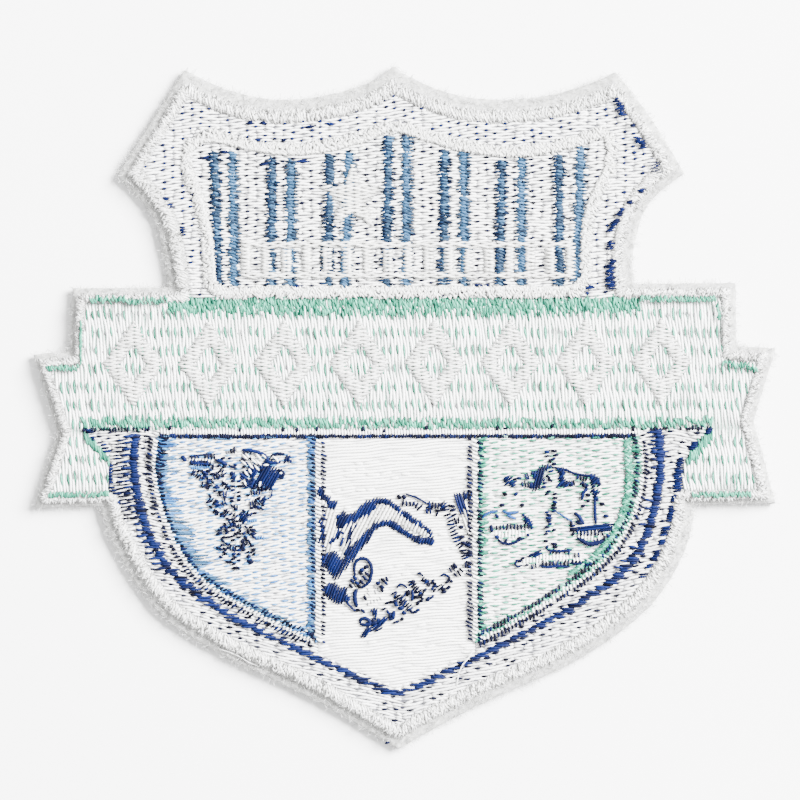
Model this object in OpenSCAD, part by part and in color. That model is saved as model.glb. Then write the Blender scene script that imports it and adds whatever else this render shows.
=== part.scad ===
// Embroidered shield patch that lies face down, so its back is turned up.
// Millimetres. +X runs along the ribbon, +Y to the crest's peak, +Z out of the back.
// Every field, line and figure is a thin solid on the base cloth, inside one stitched edge.

/* [Size] */
// width across the ribbon's tails
patch_w = 100; // [60:1:140]
// clear gap between neighbouring pieces
gap = 0.03; // [0.02:0.01:0.1]

/* [Edge] */
// widest part of the stitched edge, its outer lip included
edge_w = 3.1; // [2.2:0.1:4]
// height of the edge's ridge
edge_h = 2.1; // [1.9:0.1:3]
// share of the edge's width that is the lower lip outside the ridge
lip_share = 0.42; // [0.2:0.01:0.6]
// length of a facet along the edge
facet = 2.2; // [1.5:0.1:4]

/* [Layers] */
// underside of the base cloth
cloth_z = 0.35; // [0.3:0.05:0.6]
// thickness of the base cloth
cloth_t = 1.0; // [0.8:0.05:1.2]
// thickness of a field of fill stitches
field_t = 0.25; // [0.15:0.01:0.4]
// thickness of a satin line
satin_t = 0.2; // [0.1:0.01:0.3]
// thickness of a satin stripe, which other figures lie on
stripe_t = 0.12; // [0.08:0.01:0.2]

/* [Satin lines] */
// white border of the striped panel
border_w = 1.6; // [0.8:0.1:2.4]
// navy line round the lower shield
navy_w = 1.4; // [0.8:0.1:2]
// white line round the outer panels
inset_w = 1.2; // [0.6:0.1:2]
// mint line along the ribbon
ribbon_line_w = 2.0; // [1:0.1:3]
// stripe of the column panel
stripe_w = 1.15; // [0.6:0.05:1.6]

/* [Figures] */
// outer radius of the star
star_r = 4.7; // [3:0.1:6]
// half width of a lozenge
lozenge_a = 4.1; // [3:0.1:5]
// half height of a lozenge
lozenge_b = 5.8; // [4:0.1:7]
// stroke of a lozenge
lozenge_stroke = 1.9; // [1:0.1:2.4]
// bars in the row across the stripes
bar_count = 17; // [9:1:25]

/* [Hidden] */

WHITE = [0.91, 0.91, 0.90];
NAVY = [0.13, 0.20, 0.47];
DARK = [0.19, 0.33, 0.50];
MID = [0.42, 0.62, 0.80];
MINT = [0.50, 0.83, 0.72];
CLOTH = [0.86, 0.87, 0.87];

// The tables are drawn for a patch 100 mm wide, and scaled from there.
k = patch_w / 100;

// Heights of the layers above the base cloth.
field_z = cloth_z + cloth_t + gap;
satin_z = field_z + field_t + gap;
badge_z = satin_z + stripe_t + gap;
front_z = 0.05;
front_t = cloth_z - gap - front_z;

// Outline, anticlockwise from the peak. Columns: x, y, 1 where the edge turns a corner, and
// there the share of edge_w that the edge has up to the next corner.
RIM = [
    [-1.6, 46.1, 1, 1], [-8.7, 42.5, 0], [-19.4, 41.7, 0], [-29.7, 45.6, 1, 0.74],
    [-38.9, 31.2, 1, 0.88], [-34.2, 25.9, 0], [-32.7, 21.0, 0], [-31.9, 16.2, 1, 0.58],
    [-44.8, 16.1, 1, 0.52], [-45.1, 7.6, 1, 0.56], [-50.1, 7.2, 1, 0.5], [-46.8, -3.2, 1, 0.5],
    [-50.0, -13.5, 1, 0.52], [-41.2, -13.2, 1, 0.84], [-38.5, -20.0, 0], [-33.0, -27.9, 0],
    [-24.3, -33.5, 0], [-12.5, -39.2, 0], [-1.0, -46.0, 1, 0.9], [10.2, -39.9, 0],
    [22.9, -34.1, 0], [32.4, -27.3, 0], [37.3, -20.0, 0], [38.9, -13.0, 1, 0.52],
    [49.9, -12.9, 1, 0.55], [46.9, -1.7, 1, 0.55], [49.9, 8.0, 1, 0.56], [44.6, 8.3, 1, 0.6],
    [44.5, 16.8, 1, 0.55], [30.9, 16.7, 1, 0.92], [30.8, 21.5, 0], [32.6, 27.0, 0],
    [37.6, 31.5, 1, 0.72], [32.8, 39.4, 0], [28.3, 45.2, 1, 1], [18.2, 41.9, 0],
    [7.5, 42.0, 0]];

// Centre of the striped panel's border. Columns as above.
COLUMN_RIM = [
    [-1.5, 38.4, 1], [-8.7, 35.6, 0], [-17.0, 34.8, 0], [-28.1, 37.6, 1],
    [-30.0, 33.4, 1], [-27.5, 27.0, 0], [-26.5, 21.5, 0], [-26.3, 15.5, 1],
    [24.7, 15.6, 1], [24.3, 22.3, 0], [25.5, 28.3, 0], [28.6, 33.0, 1],
    [27.2, 37.5, 1], [17.4, 34.7, 0], [8.2, 35.2, 0]];

// Centre of the navy line, from its left end. Columns as above.
NAVY_PATH = [
    [-36.3, -3.4, 1], [-36.0, -12.0, 0], [-32.6, -20.6, 0], [-25.3, -26.8, 0],
    [-14.9, -32.3, 0], [-1.1, -38.7, 1], [10.5, -33.2, 0], [22.2, -27.0, 0],
    [30.3, -20.9, 0], [33.9, -12.2, 0], [34.1, -3.0, 1]];

// Centres of the white lines round the outer panels, from above the panels' top to past the
// divider's foot. Columns as above.
INSET_LEFT = [[-33.4, -3.2, 1], [-33.2, -12.4, 0], [-28.6, -21.9, 0], [-19.8, -27.7, 0],
    [-11.0, -31.75, 1]];
INSET_RIGHT = [[31.3, -3.2, 1], [31.5, -11.6, 0], [27.6, -19.6, 0], [19.5, -25.8, 0],
    [8.7, -31.8, 1]];

// Lines that bound the ribbon. Columns: x at the left, y there, x at the right, y there.
RIBBON_TOP = [-44.9, 14.6, 44.6, 14.9];
RIBBON_FOOT = [-44.9, -3.1, 44.6, -2.7];
PANEL_TOP_Y = -3.9;
DIVIDER_X = [-11.7, 9.4];

// The stripes, which lean a little. Columns: x of the dark one's top and foot, x of the middle
// one's top and foot, y of the dark one's top, y of the middle one's top.
STRIPES = [
    [-25.6, -25.1, -23.2, -23.1, 34.5, 34.4], [-17.8, -18.0, -15.3, -15.5, 33.6, 33.3],
    [-10.0, -10.3, -7.5, -8.1, 34.1, 34.4], [-2.2, -2.5, 0.2, 0.1, 36.6, 36.6],
    [5.4, 5.2, 7.9, 7.9, 34.7, 34.4], [13.1, 12.8, 15.7, 15.6, 33.3, 33.6],
    [20.8, 20.7, 23.7, 23.0, 34.1, 35.2]];
STRIPE_FOOT_Y = 16.5;

// Ribbon folds. Columns: x at the ribbon's foot, y there, x and y where the fold turns down.
FOLDS = [[-43.6, -3.1, -39.6, -7.6], [41.6, -2.7, 37.4, -7.4]];
fold_w = 0.9;
fold_drop = 2.6; // length of the upright stitches below the turn

// Curves through the knots of a table.
function unit(v) = v / max(norm(v), 1e-6);
function left_of(v) = [-v[1], v[0]];
function slope(p, i) = let(n = len(p) - 1)
    n == 1 ? p[1] - p[0]
    : i == 0 ? 2 * (p[1] - p[0]) - (p[2] - p[0]) / 2
    : i == n ? 2 * (p[n] - p[n - 1]) - (p[n] - p[n - 2]) / 2
    : (p[i + 1] - p[i - 1]) / 2;
function between(a, b, u, v, t) = (2 * t ^ 3 - 3 * t ^ 2 + 1) * a + (t ^ 3 - 2 * t ^ 2 + t) * u
    + (3 * t ^ 2 - 2 * t ^ 3) * b + (t ^ 3 - t ^ 2) * v;
function curve(p, steps) = concat([for (i = [0:len(p) - 2], j = [0:steps - 1])
    between(p[i], p[i + 1], slope(p, i), slope(p, i + 1), j / steps)], [p[len(p) - 1]]);
function travel(p) = [for (i = 0, s = 0; i < len(p);
    s = s + (i + 1 < len(p) ? norm(p[i + 1] - p[i]) : 0), i = i + 1) s];

// A way is one smooth run, kept as [lookups by distance, length, direction at each end, start,
// share of a shift that it takes].
lead = 9;
function way(knots, share = 1) = let(p = curve(knots, 6), s = travel(p), n = len(p) - 1,
        d0 = unit(p[1] - p[0]), d1 = unit(p[n] - p[n - 1]))
    [[for (a = [0:1]) concat([[-lead, p[0][a] - lead * d0[a]]],
        [for (i = [0:n]) [s[i], p[i][a]]], [[s[n] + lead, p[n][a] + lead * d1[a]]])],
        s[n], d0, d1, p[0], share];
function at(w, s) = [lookup(s, w[0][0]), lookup(s, w[0][1])];
function aim(w, s) = unit(at(w, s + 0.25) - at(w, s - 0.25));

// Cuts a table into ways at its corners. A closed table starts at a corner.
function ways(table, closed) = let(m = len(table),
        turns = [for (i = [0:m - 1]) if (table[i][2] == 1) i],
        last = closed ? len(turns) - 1 : len(turns) - 2)
    [for (c = [0:last]) let(from = turns[c], to = c + 1 < len(turns) ? turns[c + 1] : m)
        way([for (i = [from:to]) [table[i % m][0], table[i % m][1]] * k],
            len(table[from]) > 3 ? table[from][3] : 1)];

// Points of a chain of ways, moved to the left by u. Corners keep their mitre, also between
// two ways that take different shares of u.
function mitre(v, w) = let(a = left_of(v[3]), b = left_of(w[2]), c = a * b)
    (a * (v[5] - w[5] * c) + b * (w[5] - v[5] * c)) / (1 - c * c);
function moved(ws, u, closed, step) = let(n = len(ws)) concat(
    [for (r = [0:n - 1]) let(w = ws[r],
            m0 = r > 0 || closed ? mitre(ws[(r + n - 1) % n], w) : left_of(w[2]),
            m1 = r < n - 1 || closed ? mitre(w, ws[(r + 1) % n]) : left_of(w[3]),
            a = u * (m0 * w[2]), b = -u * (m1 * w[3]), parts = max(2, round(w[1] / step)))
        for (i = [0:parts - 1]) let(s = a + (w[1] - a - b) * i / parts)
            i == 0 ? w[4] + u * m0 : at(w, s) + u * w[5] * left_of(aim(w, s))],
    closed ? [] : [at(ws[n - 1], ws[n - 1][1]) + u * left_of(ws[n - 1][3])]);
function backwards(p) = [for (i = [len(p) - 1:-1:0]) p[i]];

// Flat shapes shared by the layers.
rim = ways(RIM, true);
column_rim = ways(COLUMN_RIM, true);
navy_ways = ways(NAVY_PATH, false);
left_ways = ways(INSET_LEFT, false);
right_ways = ways(INSET_RIGHT, false);
all_rim = moved(rim, 0, true, facet);
centre = [(min([for (p = all_rim) p[0]]) + max([for (p = all_rim) p[0]])) / 2,
    (min([for (p = all_rim) p[1]]) + max([for (p = all_rim) p[1]])) / 2];

module inside_edge() polygon(moved(rim, edge_w + 2 * gap, true, facet));
module line(ws, w, step = facet) polygon(concat(moved(ws, -w / 2, false, step),
    backwards(moved(ws, w / 2, false, step))));
module ring(ws, w) difference() {
    polygon(moved(ws, -w / 2, true, facet));
    polygon(moved(ws, w / 2, true, facet));
}
module bar(x, y0, y1, w) translate([x * k - w / 2, y0 * k]) square([w, (y1 - y0) * k]);

// Everything above or below one of the ribbon's lines.
far = 80; // past every edge
module above(t, up) polygon([[t[0], t[1] + up], [t[2], t[3] + up], [far, t[3] + up],
    [far, far], [-far, far], [-far, t[1] + up]] * k);
module below(t, down) polygon([[t[0], t[1] - down], [t[2], t[3] - down], [far, t[3] - down],
    [far, -far], [-far, -far], [-far, t[1] - down]] * k);

module crest_2d() difference() {
    intersection() { inside_edge(); above(RIBBON_TOP, gap); }
    polygon(moved(column_rim, -gap, true, facet));
}
module columns_2d() intersection() {
    polygon(moved(column_rim, gap, true, facet));
    above(RIBBON_TOP, gap);
}
module ribbon_2d() intersection() {
    inside_edge();
    above(RIBBON_FOOT, 0);
    below(RIBBON_TOP, 0);
}
// A tail's outer limit is the edge, so plain corners outside it are enough.
module tail_2d(side, spare = 0) let(f = FOLDS[side < 0 ? 0 : 1], top = f[1] + 1, foot = -14.5)
    polygon([for (c = [[side * far, top, 0], [f[0], top, spare], [f[0], f[1], spare],
        [f[2], f[3], spare], [f[2], foot, spare], [side * far, foot, 0]])
        [c[0] * k - side * c[2], c[1] * k]]);
module tail_in_edge(side) intersection() { inside_edge(); tail_2d(side); below(RIBBON_FOOT, gap); }

// Outer panels, grown by g past the centres of the lines round them.
module outer_panel_2d(side, g) let(ws = side < 0 ? left_ways : right_ways,
        foot = side < 0 ? INSET_LEFT[4][0] : INSET_RIGHT[4][0],
        x = DIVIDER_X[side < 0 ? 0 : 1] * k - side * g)
    intersection() {
        polygon(concat(moved(ws, side * g, false, facet), [[foot * k, 0], [side * 40 * k, 0]]));
        translate([side < 0 ? x - far : x, PANEL_TOP_Y * k + g - far]) square(far);
    }
module left_2d(g) outer_panel_2d(-1, g);
module right_2d(g) outer_panel_2d(1, g);
module centre_2d(g) intersection() {
    translate([DIVIDER_X[0] * k - g, -40 * k]) square([(DIVIDER_X[1] - DIVIDER_X[0]) * k + 2 * g,
        (40 + PANEL_TOP_Y) * k + g]);
    polygon(moved(navy_ways, navy_w / 2 - g, false, facet));
}
module shield_2d() difference() {
    intersection() { inside_edge(); below(RIBBON_FOOT, gap); }
    for (side = [-1, 1]) tail_2d(side, 2 * gap);
    left_2d(gap);
    right_2d(gap);
    centre_2d(gap);
}

// Heights.
module field() translate([0, 0, field_z]) linear_extrude(field_t) children();
module satin() translate([0, 0, satin_z]) linear_extrude(satin_t) children();
module stripe() translate([0, 0, satin_z]) linear_extrude(stripe_t) children();
module badge() translate([0, 0, badge_z]) linear_extrude(satin_t) children();
module front() translate([0, 0, front_z]) linear_extrude(front_t) children();

// Stitched edge: one section swept round the outline. Columns: share of the edge's width,
// height.
SECTION = [
    [0, 0.45], [0.1, 0.12], [0.32, 0], [0.8, 0], [1, 0.25],
    [1, edge_h - 0.6], [0.95, edge_h - 0.25], [0.82, edge_h],
    [lip_share + 0.18, edge_h], [lip_share + 0.05, edge_h - 0.25], [lip_share - 0.02, 1.25],
    [0.15, 1.15], [0.03, 0.85]];
module edge_border() color(WHITE) {
    loops = [for (s = SECTION) moved(rim, s[0] * edge_w, true, facet)];
    n = len(loops[0]);
    m = len(SECTION);
    polyhedron(
        [for (q = [0:m - 1], j = [0:n - 1]) [loops[q][j][0], loops[q][j][1], SECTION[q][1]]],
        [for (q = [0:m - 1], j = [0:n - 1]) let(a = q * n, b = (q + 1) % m * n, h = (j + 1) % n)
            each [[a + j, b + j, b + h], [a + j, b + h, a + h]]]);
}
module base_cloth() color(CLOTH) translate([0, 0, cloth_z]) linear_extrude(cloth_t) inside_edge();

// Crest.
module crest_field() color(WHITE) field() crest_2d();
module column_panel() color(WHITE) field() columns_2d();
module panel_border() color(WHITE) satin() ring(column_rim, border_w);
module stripe_2d(top_x, foot_x, top_y) intersection() {
    polygon([for (c = [[foot_x, STRIPE_FOOT_Y, -1], [foot_x, STRIPE_FOOT_Y, 1], [top_x, top_y, 1],
        [top_x, top_y, -1]]) [c[0] * k + c[2] * stripe_w / 2, c[1] * k]]);
    polygon(moved(column_rim, border_w / 2 + gap, true, facet));
}
module stripe_dark(i) color(DARK) stripe()
    stripe_2d(STRIPES[i][0], STRIPES[i][1], STRIPES[i][4]);
module stripe_mid(i) color(MID) stripe()
    stripe_2d(STRIPES[i][2], STRIPES[i][3], STRIPES[i][5]);
// Upright bars between two rails.
BAR_ROW = [-22.1, 22.9]; // x of its ends
BAR_Y = [17.4, 22.4]; // y of its foot and head
rail_t = 0.8;
bar_w = 1.35;
module plinth_band() color(WHITE) badge() {
    for (y = [BAR_Y[0], BAR_Y[1] - rail_t])
        translate([BAR_ROW[0] * k, y * k]) square([(BAR_ROW[1] - BAR_ROW[0]) * k, rail_t * k]);
    for (i = [0:bar_count - 1])
        bar(BAR_ROW[0] + bar_w / 2 + (BAR_ROW[1] - BAR_ROW[0] - bar_w) * i / (bar_count - 1),
            BAR_Y[0], BAR_Y[1], bar_w * k);
}
STAR_AT = [-7.1, 28.3];
star_waist = 0.45; // share of the radius at the inner corners
module star() color(WHITE) badge() translate(STAR_AT * k)
    polygon([for (i = [0:9]) let(r = (i % 2 == 0 ? 1 : star_waist) * star_r * k)
        r * [sin(36 * i), cos(36 * i)]]);

// Ribbon.
module ribbon() color(MINT) field() ribbon_2d();
module tail_left() color(MINT) field() tail_in_edge(-1);
module tail_right() color(MINT) field() tail_in_edge(1);
module fold_line(side) let(f = FOLDS[side < 0 ? 0 : 1])
    line(ways([[f[0], f[1], 1], [f[2], f[3], 1], [f[2], f[3] - fold_drop, 1]], false), fold_w);
module fold_left() color(NAVY) satin() intersection() {
    fold_line(-1); inside_edge(); below(RIBBON_FOOT, 2 * gap);
}
module fold_right() color(NAVY) satin() intersection() {
    fold_line(1); inside_edge(); below(RIBBON_FOOT, 2 * gap);
}
// A line from x[0] to x[1], its lower side y_in above one of the ribbon's lines.
module level_line(x, t, y_in, w) let(rise = (t[3] - t[1]) / (t[2] - t[0]))
    polygon([for (c = [[x[0], 0], [x[1], 0], [x[1], w], [x[0], w]])
        [c[0], t[1] + rise * (c[0] - t[0]) + y_in + c[1]] * k]);
TOP_EDGE_X = [-31.5, 29.2];
BOTTOM_EDGE_X = [-43.3, 41.4];
ribbon_rim = 0.22; // from a ribbon line to the mint line beside it
module ribbon_top_edge() color(MINT) satin()
    level_line(TOP_EDGE_X, RIBBON_TOP, -ribbon_line_w - ribbon_rim, ribbon_line_w);
module ribbon_bottom_edge() color(MINT) satin()
    level_line(BOTTOM_EDGE_X, RIBBON_FOOT, ribbon_rim, ribbon_line_w * 0.85);
LOZENGE_X = [-36.6, 10.15]; // x of the first one, and the pitch
LOZENGE_Y = [5.9, 0.045]; // y of the first one, and its rise with each
module ribbon_lozenge(i) color(WHITE) satin()
    translate([LOZENGE_X[0] + LOZENGE_X[1] * i, LOZENGE_Y[0] + LOZENGE_Y[1] * i] * k)
    difference() {
        a = lozenge_a * k;
        b = lozenge_b * k;
        s = 1 - lozenge_stroke * k / (a * b / norm([a, b]));
        polygon([[a, 0], [0, b], [-a, 0], [0, -b]]);
        polygon([[a, 0], [0, b], [-a, 0], [0, -b]] * s);
    }

// Lower shield.
module shield_band() color(WHITE) field() shield_2d();
module navy_line() color(NAVY) satin() line(navy_ways, navy_w);
module panel_left() color(WHITE) field() left_2d(0);
module panel_centre() color(WHITE) field() difference() {
    centre_2d(0);
    left_2d(gap);
    right_2d(gap);
}
module panel_right() color(WHITE) field() right_2d(0);
top_line_w = 0.55;
TOP_LINE_X = [-33.2, 31.0]; // x of its ends
divider_w = 1.4;
module between_lines(side) let(x = DIVIDER_X[side < 0 ? 0 : 1] * k + side * (divider_w / 2 + gap))
    translate([side < 0 ? x - far : x, PANEL_TOP_Y * k - top_line_w / 2 - gap - far]) square(far);
module inset_left() color(WHITE) satin() intersection() {
    line(left_ways, inset_w);
    between_lines(-1);
}
module inset_right() color(WHITE) satin() intersection() {
    line(right_ways, inset_w);
    between_lines(1);
}
module divider_left() color(WHITE) satin()
    bar(DIVIDER_X[0], -31.5, PANEL_TOP_Y - (top_line_w / 2 + gap) / k, divider_w);
module divider_right() color(WHITE) satin()
    bar(DIVIDER_X[1], -31.6, PANEL_TOP_Y - (top_line_w / 2 + gap) / k, divider_w);
module panel_top_line() color(NAVY) satin()
    translate([TOP_LINE_X[0] * k, PANEL_TOP_Y * k - top_line_w / 2])
        square([(TOP_LINE_X[1] - TOP_LINE_X[0]) * k, top_line_w]);

// A brush stroke through knots, with a width at each. Columns: x, y, width.
function stroke(t) = let(p = curve([for (r = t) [r[0], r[1]]], 4),
        w = curve([for (r = t) [r[2], 0]], 4), n = len(p) - 1,
        d = [for (i = [0:n]) left_of(unit(p[min(i + 1, n)] - p[max(i - 1, 0)]))])
    concat([for (i = [0:n]) p[i] - d[i] * w[i][0] / 2],
        [for (i = [n:-1:0]) p[i] + d[i] * w[i][0] / 2]) * k;
module strokes(list) for (t = list) polygon(stroke(t));
module oval(x, y, a, b, w) translate([x, y] * k) difference() {
    polygon([for (q = [0:15:345]) [a * cos(q), b * sin(q)] * k]);
    if (w > 0) polygon([for (q = [0:15:345]) [(a - w) * cos(q), (b - w) * sin(q)] * k]);
}

// Right half of the winged staff with its coils. Columns: x and y from the staff's top.
STAFF = [-22.4, -5.2];
STAFF_HALF = [[0.3, 0.4], [0.8, 0], [0.8, -0.6], [0.4, -1.1], [3.0, -0.4], [7.3, -1.3],
    [6.6, -2.3], [5.9, -3.6], [4.6, -4.9], [2.2, -5.6], [0.9, -6.2], [2.4, -6.7], [3.6, -7.8],
    [3.5, -8.8], [2.0, -9.7], [0.6, -10.1], [1.6, -10.8], [0.6, -11.7], [2.1, -12.2], [2.7, -13.4],
    [2.0, -14.8], [0.4, -15.6], [0.4, -16.2]];
COIL_HOLES = [[[0.5, -7.4], [2.0, -7.6], [2.6, -8.2], [1.8, -8.8], [0.5, -9.3]],
    [[0.5, -12.5], [1.5, -12.8], [1.9, -13.5], [1.3, -14.4], [0.5, -14.8]]];
module caduceus() color(NAVY) satin() difference() {
    polygon([for (p = STAFF_HALF) (STAFF + p) * k, for (p = backwards(STAFF_HALF))
        [STAFF[0] - p[0], STAFF[1] + p[1]] * k]);
    for (hole = COIL_HOLES, side = [-1, 1])
        polygon([for (p = hole) [STAFF[0] + side * p[0], STAFF[1] + p[1]] * k]);
}

// Clasped hands as brush strokes.
HANDS = [
    [[-9.2, -15.6, 2.0], [-6.3, -13.7, 1.6], [-2.9, -12.4, 0.9], [0.0, -13.6, 0.7],
        [2.2, -15.8, 0.6], [3.8, -18.2, 0.5]],
    [[-7.4, -20.2, 2.2], [-5.2, -17.6, 1.5], [-2.7, -15.6, 1.0], [0.2, -16.9, 0.9],
        [2.2, -18.1, 1.0], [3.8, -18.2, 0.7]],
    [[-9.2, -15.0, 1.6], [-9.6, -18.6, 0.6], [-9.9, -20.6, 1.6]],
    [[-11.0, -20.4, 1.4], [-9.2, -21.6, 3.2], [-7.2, -20.4, 1.6]],
    [[-11.2, -11.4, 0.9], [-9.6, -12.9, 0.9], [-9.2, -15.6, 0.5]],
    [[-9.2, -21.0, 0.5], [-9.2, -25.0, 2.4], [-8.0, -26.0, 0.8], [-6.0, -27.1, 0.5]],
    [[-6.5, -27.2, 0.4], [-6.6, -25.0, 0.6], [-6.4, -23.0, 0.5]],
    [[-6.0, -27.1, 0.5], [-4.0, -27.6, 0.9], [-2.4, -27.8, 0.8], [-0.6, -26.4, 0.9],
        [1.0, -25.4, 0.9], [2.6, -24.6, 0.9], [4.6, -23.8, 0.8], [6.4, -22.2, 0.5]],
    [[-0.4, -24.2, 0.7], [0.2, -26.0, 0.8], [1.2, -27.2, 0.6]],
    [[1.0, -22.9, 0.7], [1.8, -24.7, 0.8], [2.6, -25.9, 0.6]],
    [[2.1, -22.4, 0.6], [3.6, -24.0, 0.8], [5.0, -24.6, 0.6]],
    [[-5.0, -28.9, 0.9], [-3.4, -28.6, 1.5], [-2.4, -27.6, 0.7]],
    [[-0.2, -12.4, 0.5], [2.6, -13.3, 0.8], [5.4, -13.8, 1.2], [6.3, -15.0, 0.7],
        [7.3, -18.4, 0.7], [8.2, -20.4, 0.8]],
    [[-1.2, -12.7, 0.4], [-0.2, -12.4, 0.5]],
    [[6.9, -12.0, 0.9], [7.4, -14.2, 0.7], [7.0, -16.6, 0.5]],
    [[6.4, -22.2, 0.5], [7.4, -21.2, 0.8], [8.2, -20.2, 0.8]]];
module handshake() color(NAVY) satin() intersection() {
    union() {
        strokes(HANDS);
        oval(-5.8, -22.4, 1.1, 2.0, 0.45);
    }
    translate([DIVIDER_X[0] * k + divider_w / 2 + gap, -far])
        square([(DIVIDER_X[1] - DIVIDER_X[0]) * k - divider_w - 2 * gap, far]);
}

// Scales: post, beam, cords, pans and foot.
POST_X = 19.8;
SCALES = [
    [[POST_X, -5.5, 0.7], [POST_X, -7.8, 1.2], [POST_X, -12.8, 1.0], [POST_X, -20.4, 1.3]],
    [[13.2, -9.6, 0.9], [16.4, -8.3, 0.7], [POST_X, -8.0, 1.0], [23.2, -8.7, 0.7],
        [26.6, -9.7, 0.9]],
    [[13.4, -9.6, 0.35], [11.9, -16.1, 0.35]], [[13.4, -9.6, 0.35], [16.8, -16.1, 0.35]],
    [[26.4, -9.6, 0.35], [22.8, -16.1, 0.35]], [[26.4, -9.6, 0.35], [27.8, -16.1, 0.35]]];
PAN_X = [14.3, 25.3];
PAN = [-15.9, 2.9, 2.1]; // y of the rim, half width, depth
module scales() color(NAVY) satin() {
    strokes(SCALES);
    for (x = PAN_X) translate([x, PAN[0]] * k)
        polygon([for (q = [180:15:360]) [PAN[1] * cos(q), PAN[2] * sin(q)] * k]);
    oval(POST_X, -20.7, 5.0, 0.95, 0);
}

// Stitched face, turned down.
module front_crest() color(NAVY) front() crest_2d();
module front_columns() color(WHITE) front() columns_2d();
module front_ribbon() color(MINT) front() {
    ribbon_2d();
    for (side = [-1, 1]) intersection() { inside_edge(); tail_2d(side); }
}
module front_shield() color(NAVY) front() shield_2d();
module front_left() color(MID) front() left_2d(0);
module front_centre() color(WHITE) front() difference() {
    centre_2d(0);
    left_2d(gap);
    right_2d(gap);
}
module front_right() color(MINT) front() right_2d(0);

translate([-centre[0], -centre[1], 0]) {
    edge_border();
    base_cloth();
    crest_field();
    column_panel();
    panel_border();
    for (i = [0:6]) {
        stripe_dark(i);
        stripe_mid(i);
    }
    plinth_band();
    star();
    ribbon();
    tail_left();
    tail_right();
    fold_left();
    fold_right();
    ribbon_top_edge();
    ribbon_bottom_edge();
    for (i = [0:7])
        ribbon_lozenge(i);
    shield_band();
    navy_line();
    inset_left();
    inset_right();
    divider_left();
    divider_right();
    panel_top_line();
    panel_left();
    panel_centre();
    panel_right();
    caduceus();
    handshake();
    scales();
    front_crest();
    front_columns();
    front_ribbon();
    front_shield();
    front_left();
    front_centre();
    front_right();
}
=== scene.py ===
# %% [markdown]
# # Embroidered shield patch, seen from the back
#
# A machine-stitched patch is a stack of thread on cloth. This one lies face down, so what
# shows is the white bobbin thread, with the coloured top thread pulled through at the needle
# holes. The CAD frame holds the cloth, the fields and the raised edge as thin solids. This
# lesson plans every stitch from the outlines of those solids, and lets one Geometry Nodes
# tree turn the plan into round, twisted, slightly sunken threads.

# %% Frame
import math
import random
from functools import partial

import bmesh
import bpy
import numpy as np
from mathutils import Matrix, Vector


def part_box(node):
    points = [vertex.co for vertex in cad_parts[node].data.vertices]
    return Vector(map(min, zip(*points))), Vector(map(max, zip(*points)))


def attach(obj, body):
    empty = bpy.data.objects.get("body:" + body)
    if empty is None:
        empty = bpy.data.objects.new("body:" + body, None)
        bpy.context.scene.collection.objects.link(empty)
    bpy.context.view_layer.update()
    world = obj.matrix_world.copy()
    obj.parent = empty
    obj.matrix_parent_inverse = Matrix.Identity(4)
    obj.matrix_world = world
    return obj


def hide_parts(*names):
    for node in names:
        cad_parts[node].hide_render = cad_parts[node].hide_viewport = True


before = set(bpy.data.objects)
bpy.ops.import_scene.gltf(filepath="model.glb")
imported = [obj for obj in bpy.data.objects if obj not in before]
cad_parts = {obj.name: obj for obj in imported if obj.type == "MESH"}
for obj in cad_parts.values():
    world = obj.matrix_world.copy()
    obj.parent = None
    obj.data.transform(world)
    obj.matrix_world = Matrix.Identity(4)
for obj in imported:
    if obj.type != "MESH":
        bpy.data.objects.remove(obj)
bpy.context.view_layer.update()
MM = 0.001  # plans are drawn in millimetres, and meshes are in metres

# %% [markdown]
# ## Trees written as calls
#
# Threads, fibres and materials are all node trees. A tree could be built node by node and
# link by link, but then its flow is hard to follow. Here one call makes a node, with its
# settings and with what goes into each input, so a tree reads from its start to its end.


# %% Tree helpers
def feed(tree, node, inputs):
    """Gives each of a node's inputs a value, or links it to another node's socket."""
    for name, value in inputs.items():
        if isinstance(value, bpy.types.NodeSocket):
            tree.links.new(value, node.inputs[name])
        else:
            node.inputs[name].default_value = value


def add(tree, kind, inputs=None, **settings):
    """A new node with its settings and inputs."""
    made = tree.nodes.new(kind)
    for name, value in settings.items():
        setattr(made, name, value)
    feed(tree, made, inputs or {})
    return made


def maths(tree, operation, *values):
    """A maths node on sockets or numbers, and its result."""
    return add(tree, "ShaderNodeMath", dict(enumerate(values)), operation=operation).outputs[0]


def vectors(tree, operation, inputs):
    """A vector maths node, and its result."""
    return add(tree, "ShaderNodeVectorMath", inputs, operation=operation).outputs[0]


def new_material(name, inputs):
    """A material, its tree, and its shader with these inputs."""
    made = bpy.data.materials.new(name)
    made.use_nodes = True
    shader = made.node_tree.nodes["Principled BSDF"]
    feed(made.node_tree, shader, inputs)
    return made, made.node_tree, shader


def linked(thing):
    """Puts an object in the scene, and returns it."""
    bpy.context.scene.collection.objects.link(thing)
    return thing


print("helpers for trees are ready")

# %% [markdown]
# ## Camera
#
# The photograph looks straight down on the patch. A long lens from well above keeps
# perspective small. The picture's scale and the patch's place in it are two measurements,
# and the camera follows from them.

# %% Camera
PICTURE = 800  # pixels across the square picture
PIXELS_PER_MM = 7.43  # at the stitched back
PATCH_AT = (404.5, 407.5)  # pixel over the frame's origin
CAMERA_HEIGHT = 900.0  # mm above the floor
BACK_Z = 1.8  # mm, height of the stitched back
SENSOR = 36  # mm
NEAR, FAR = 0.01, 10  # m

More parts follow.
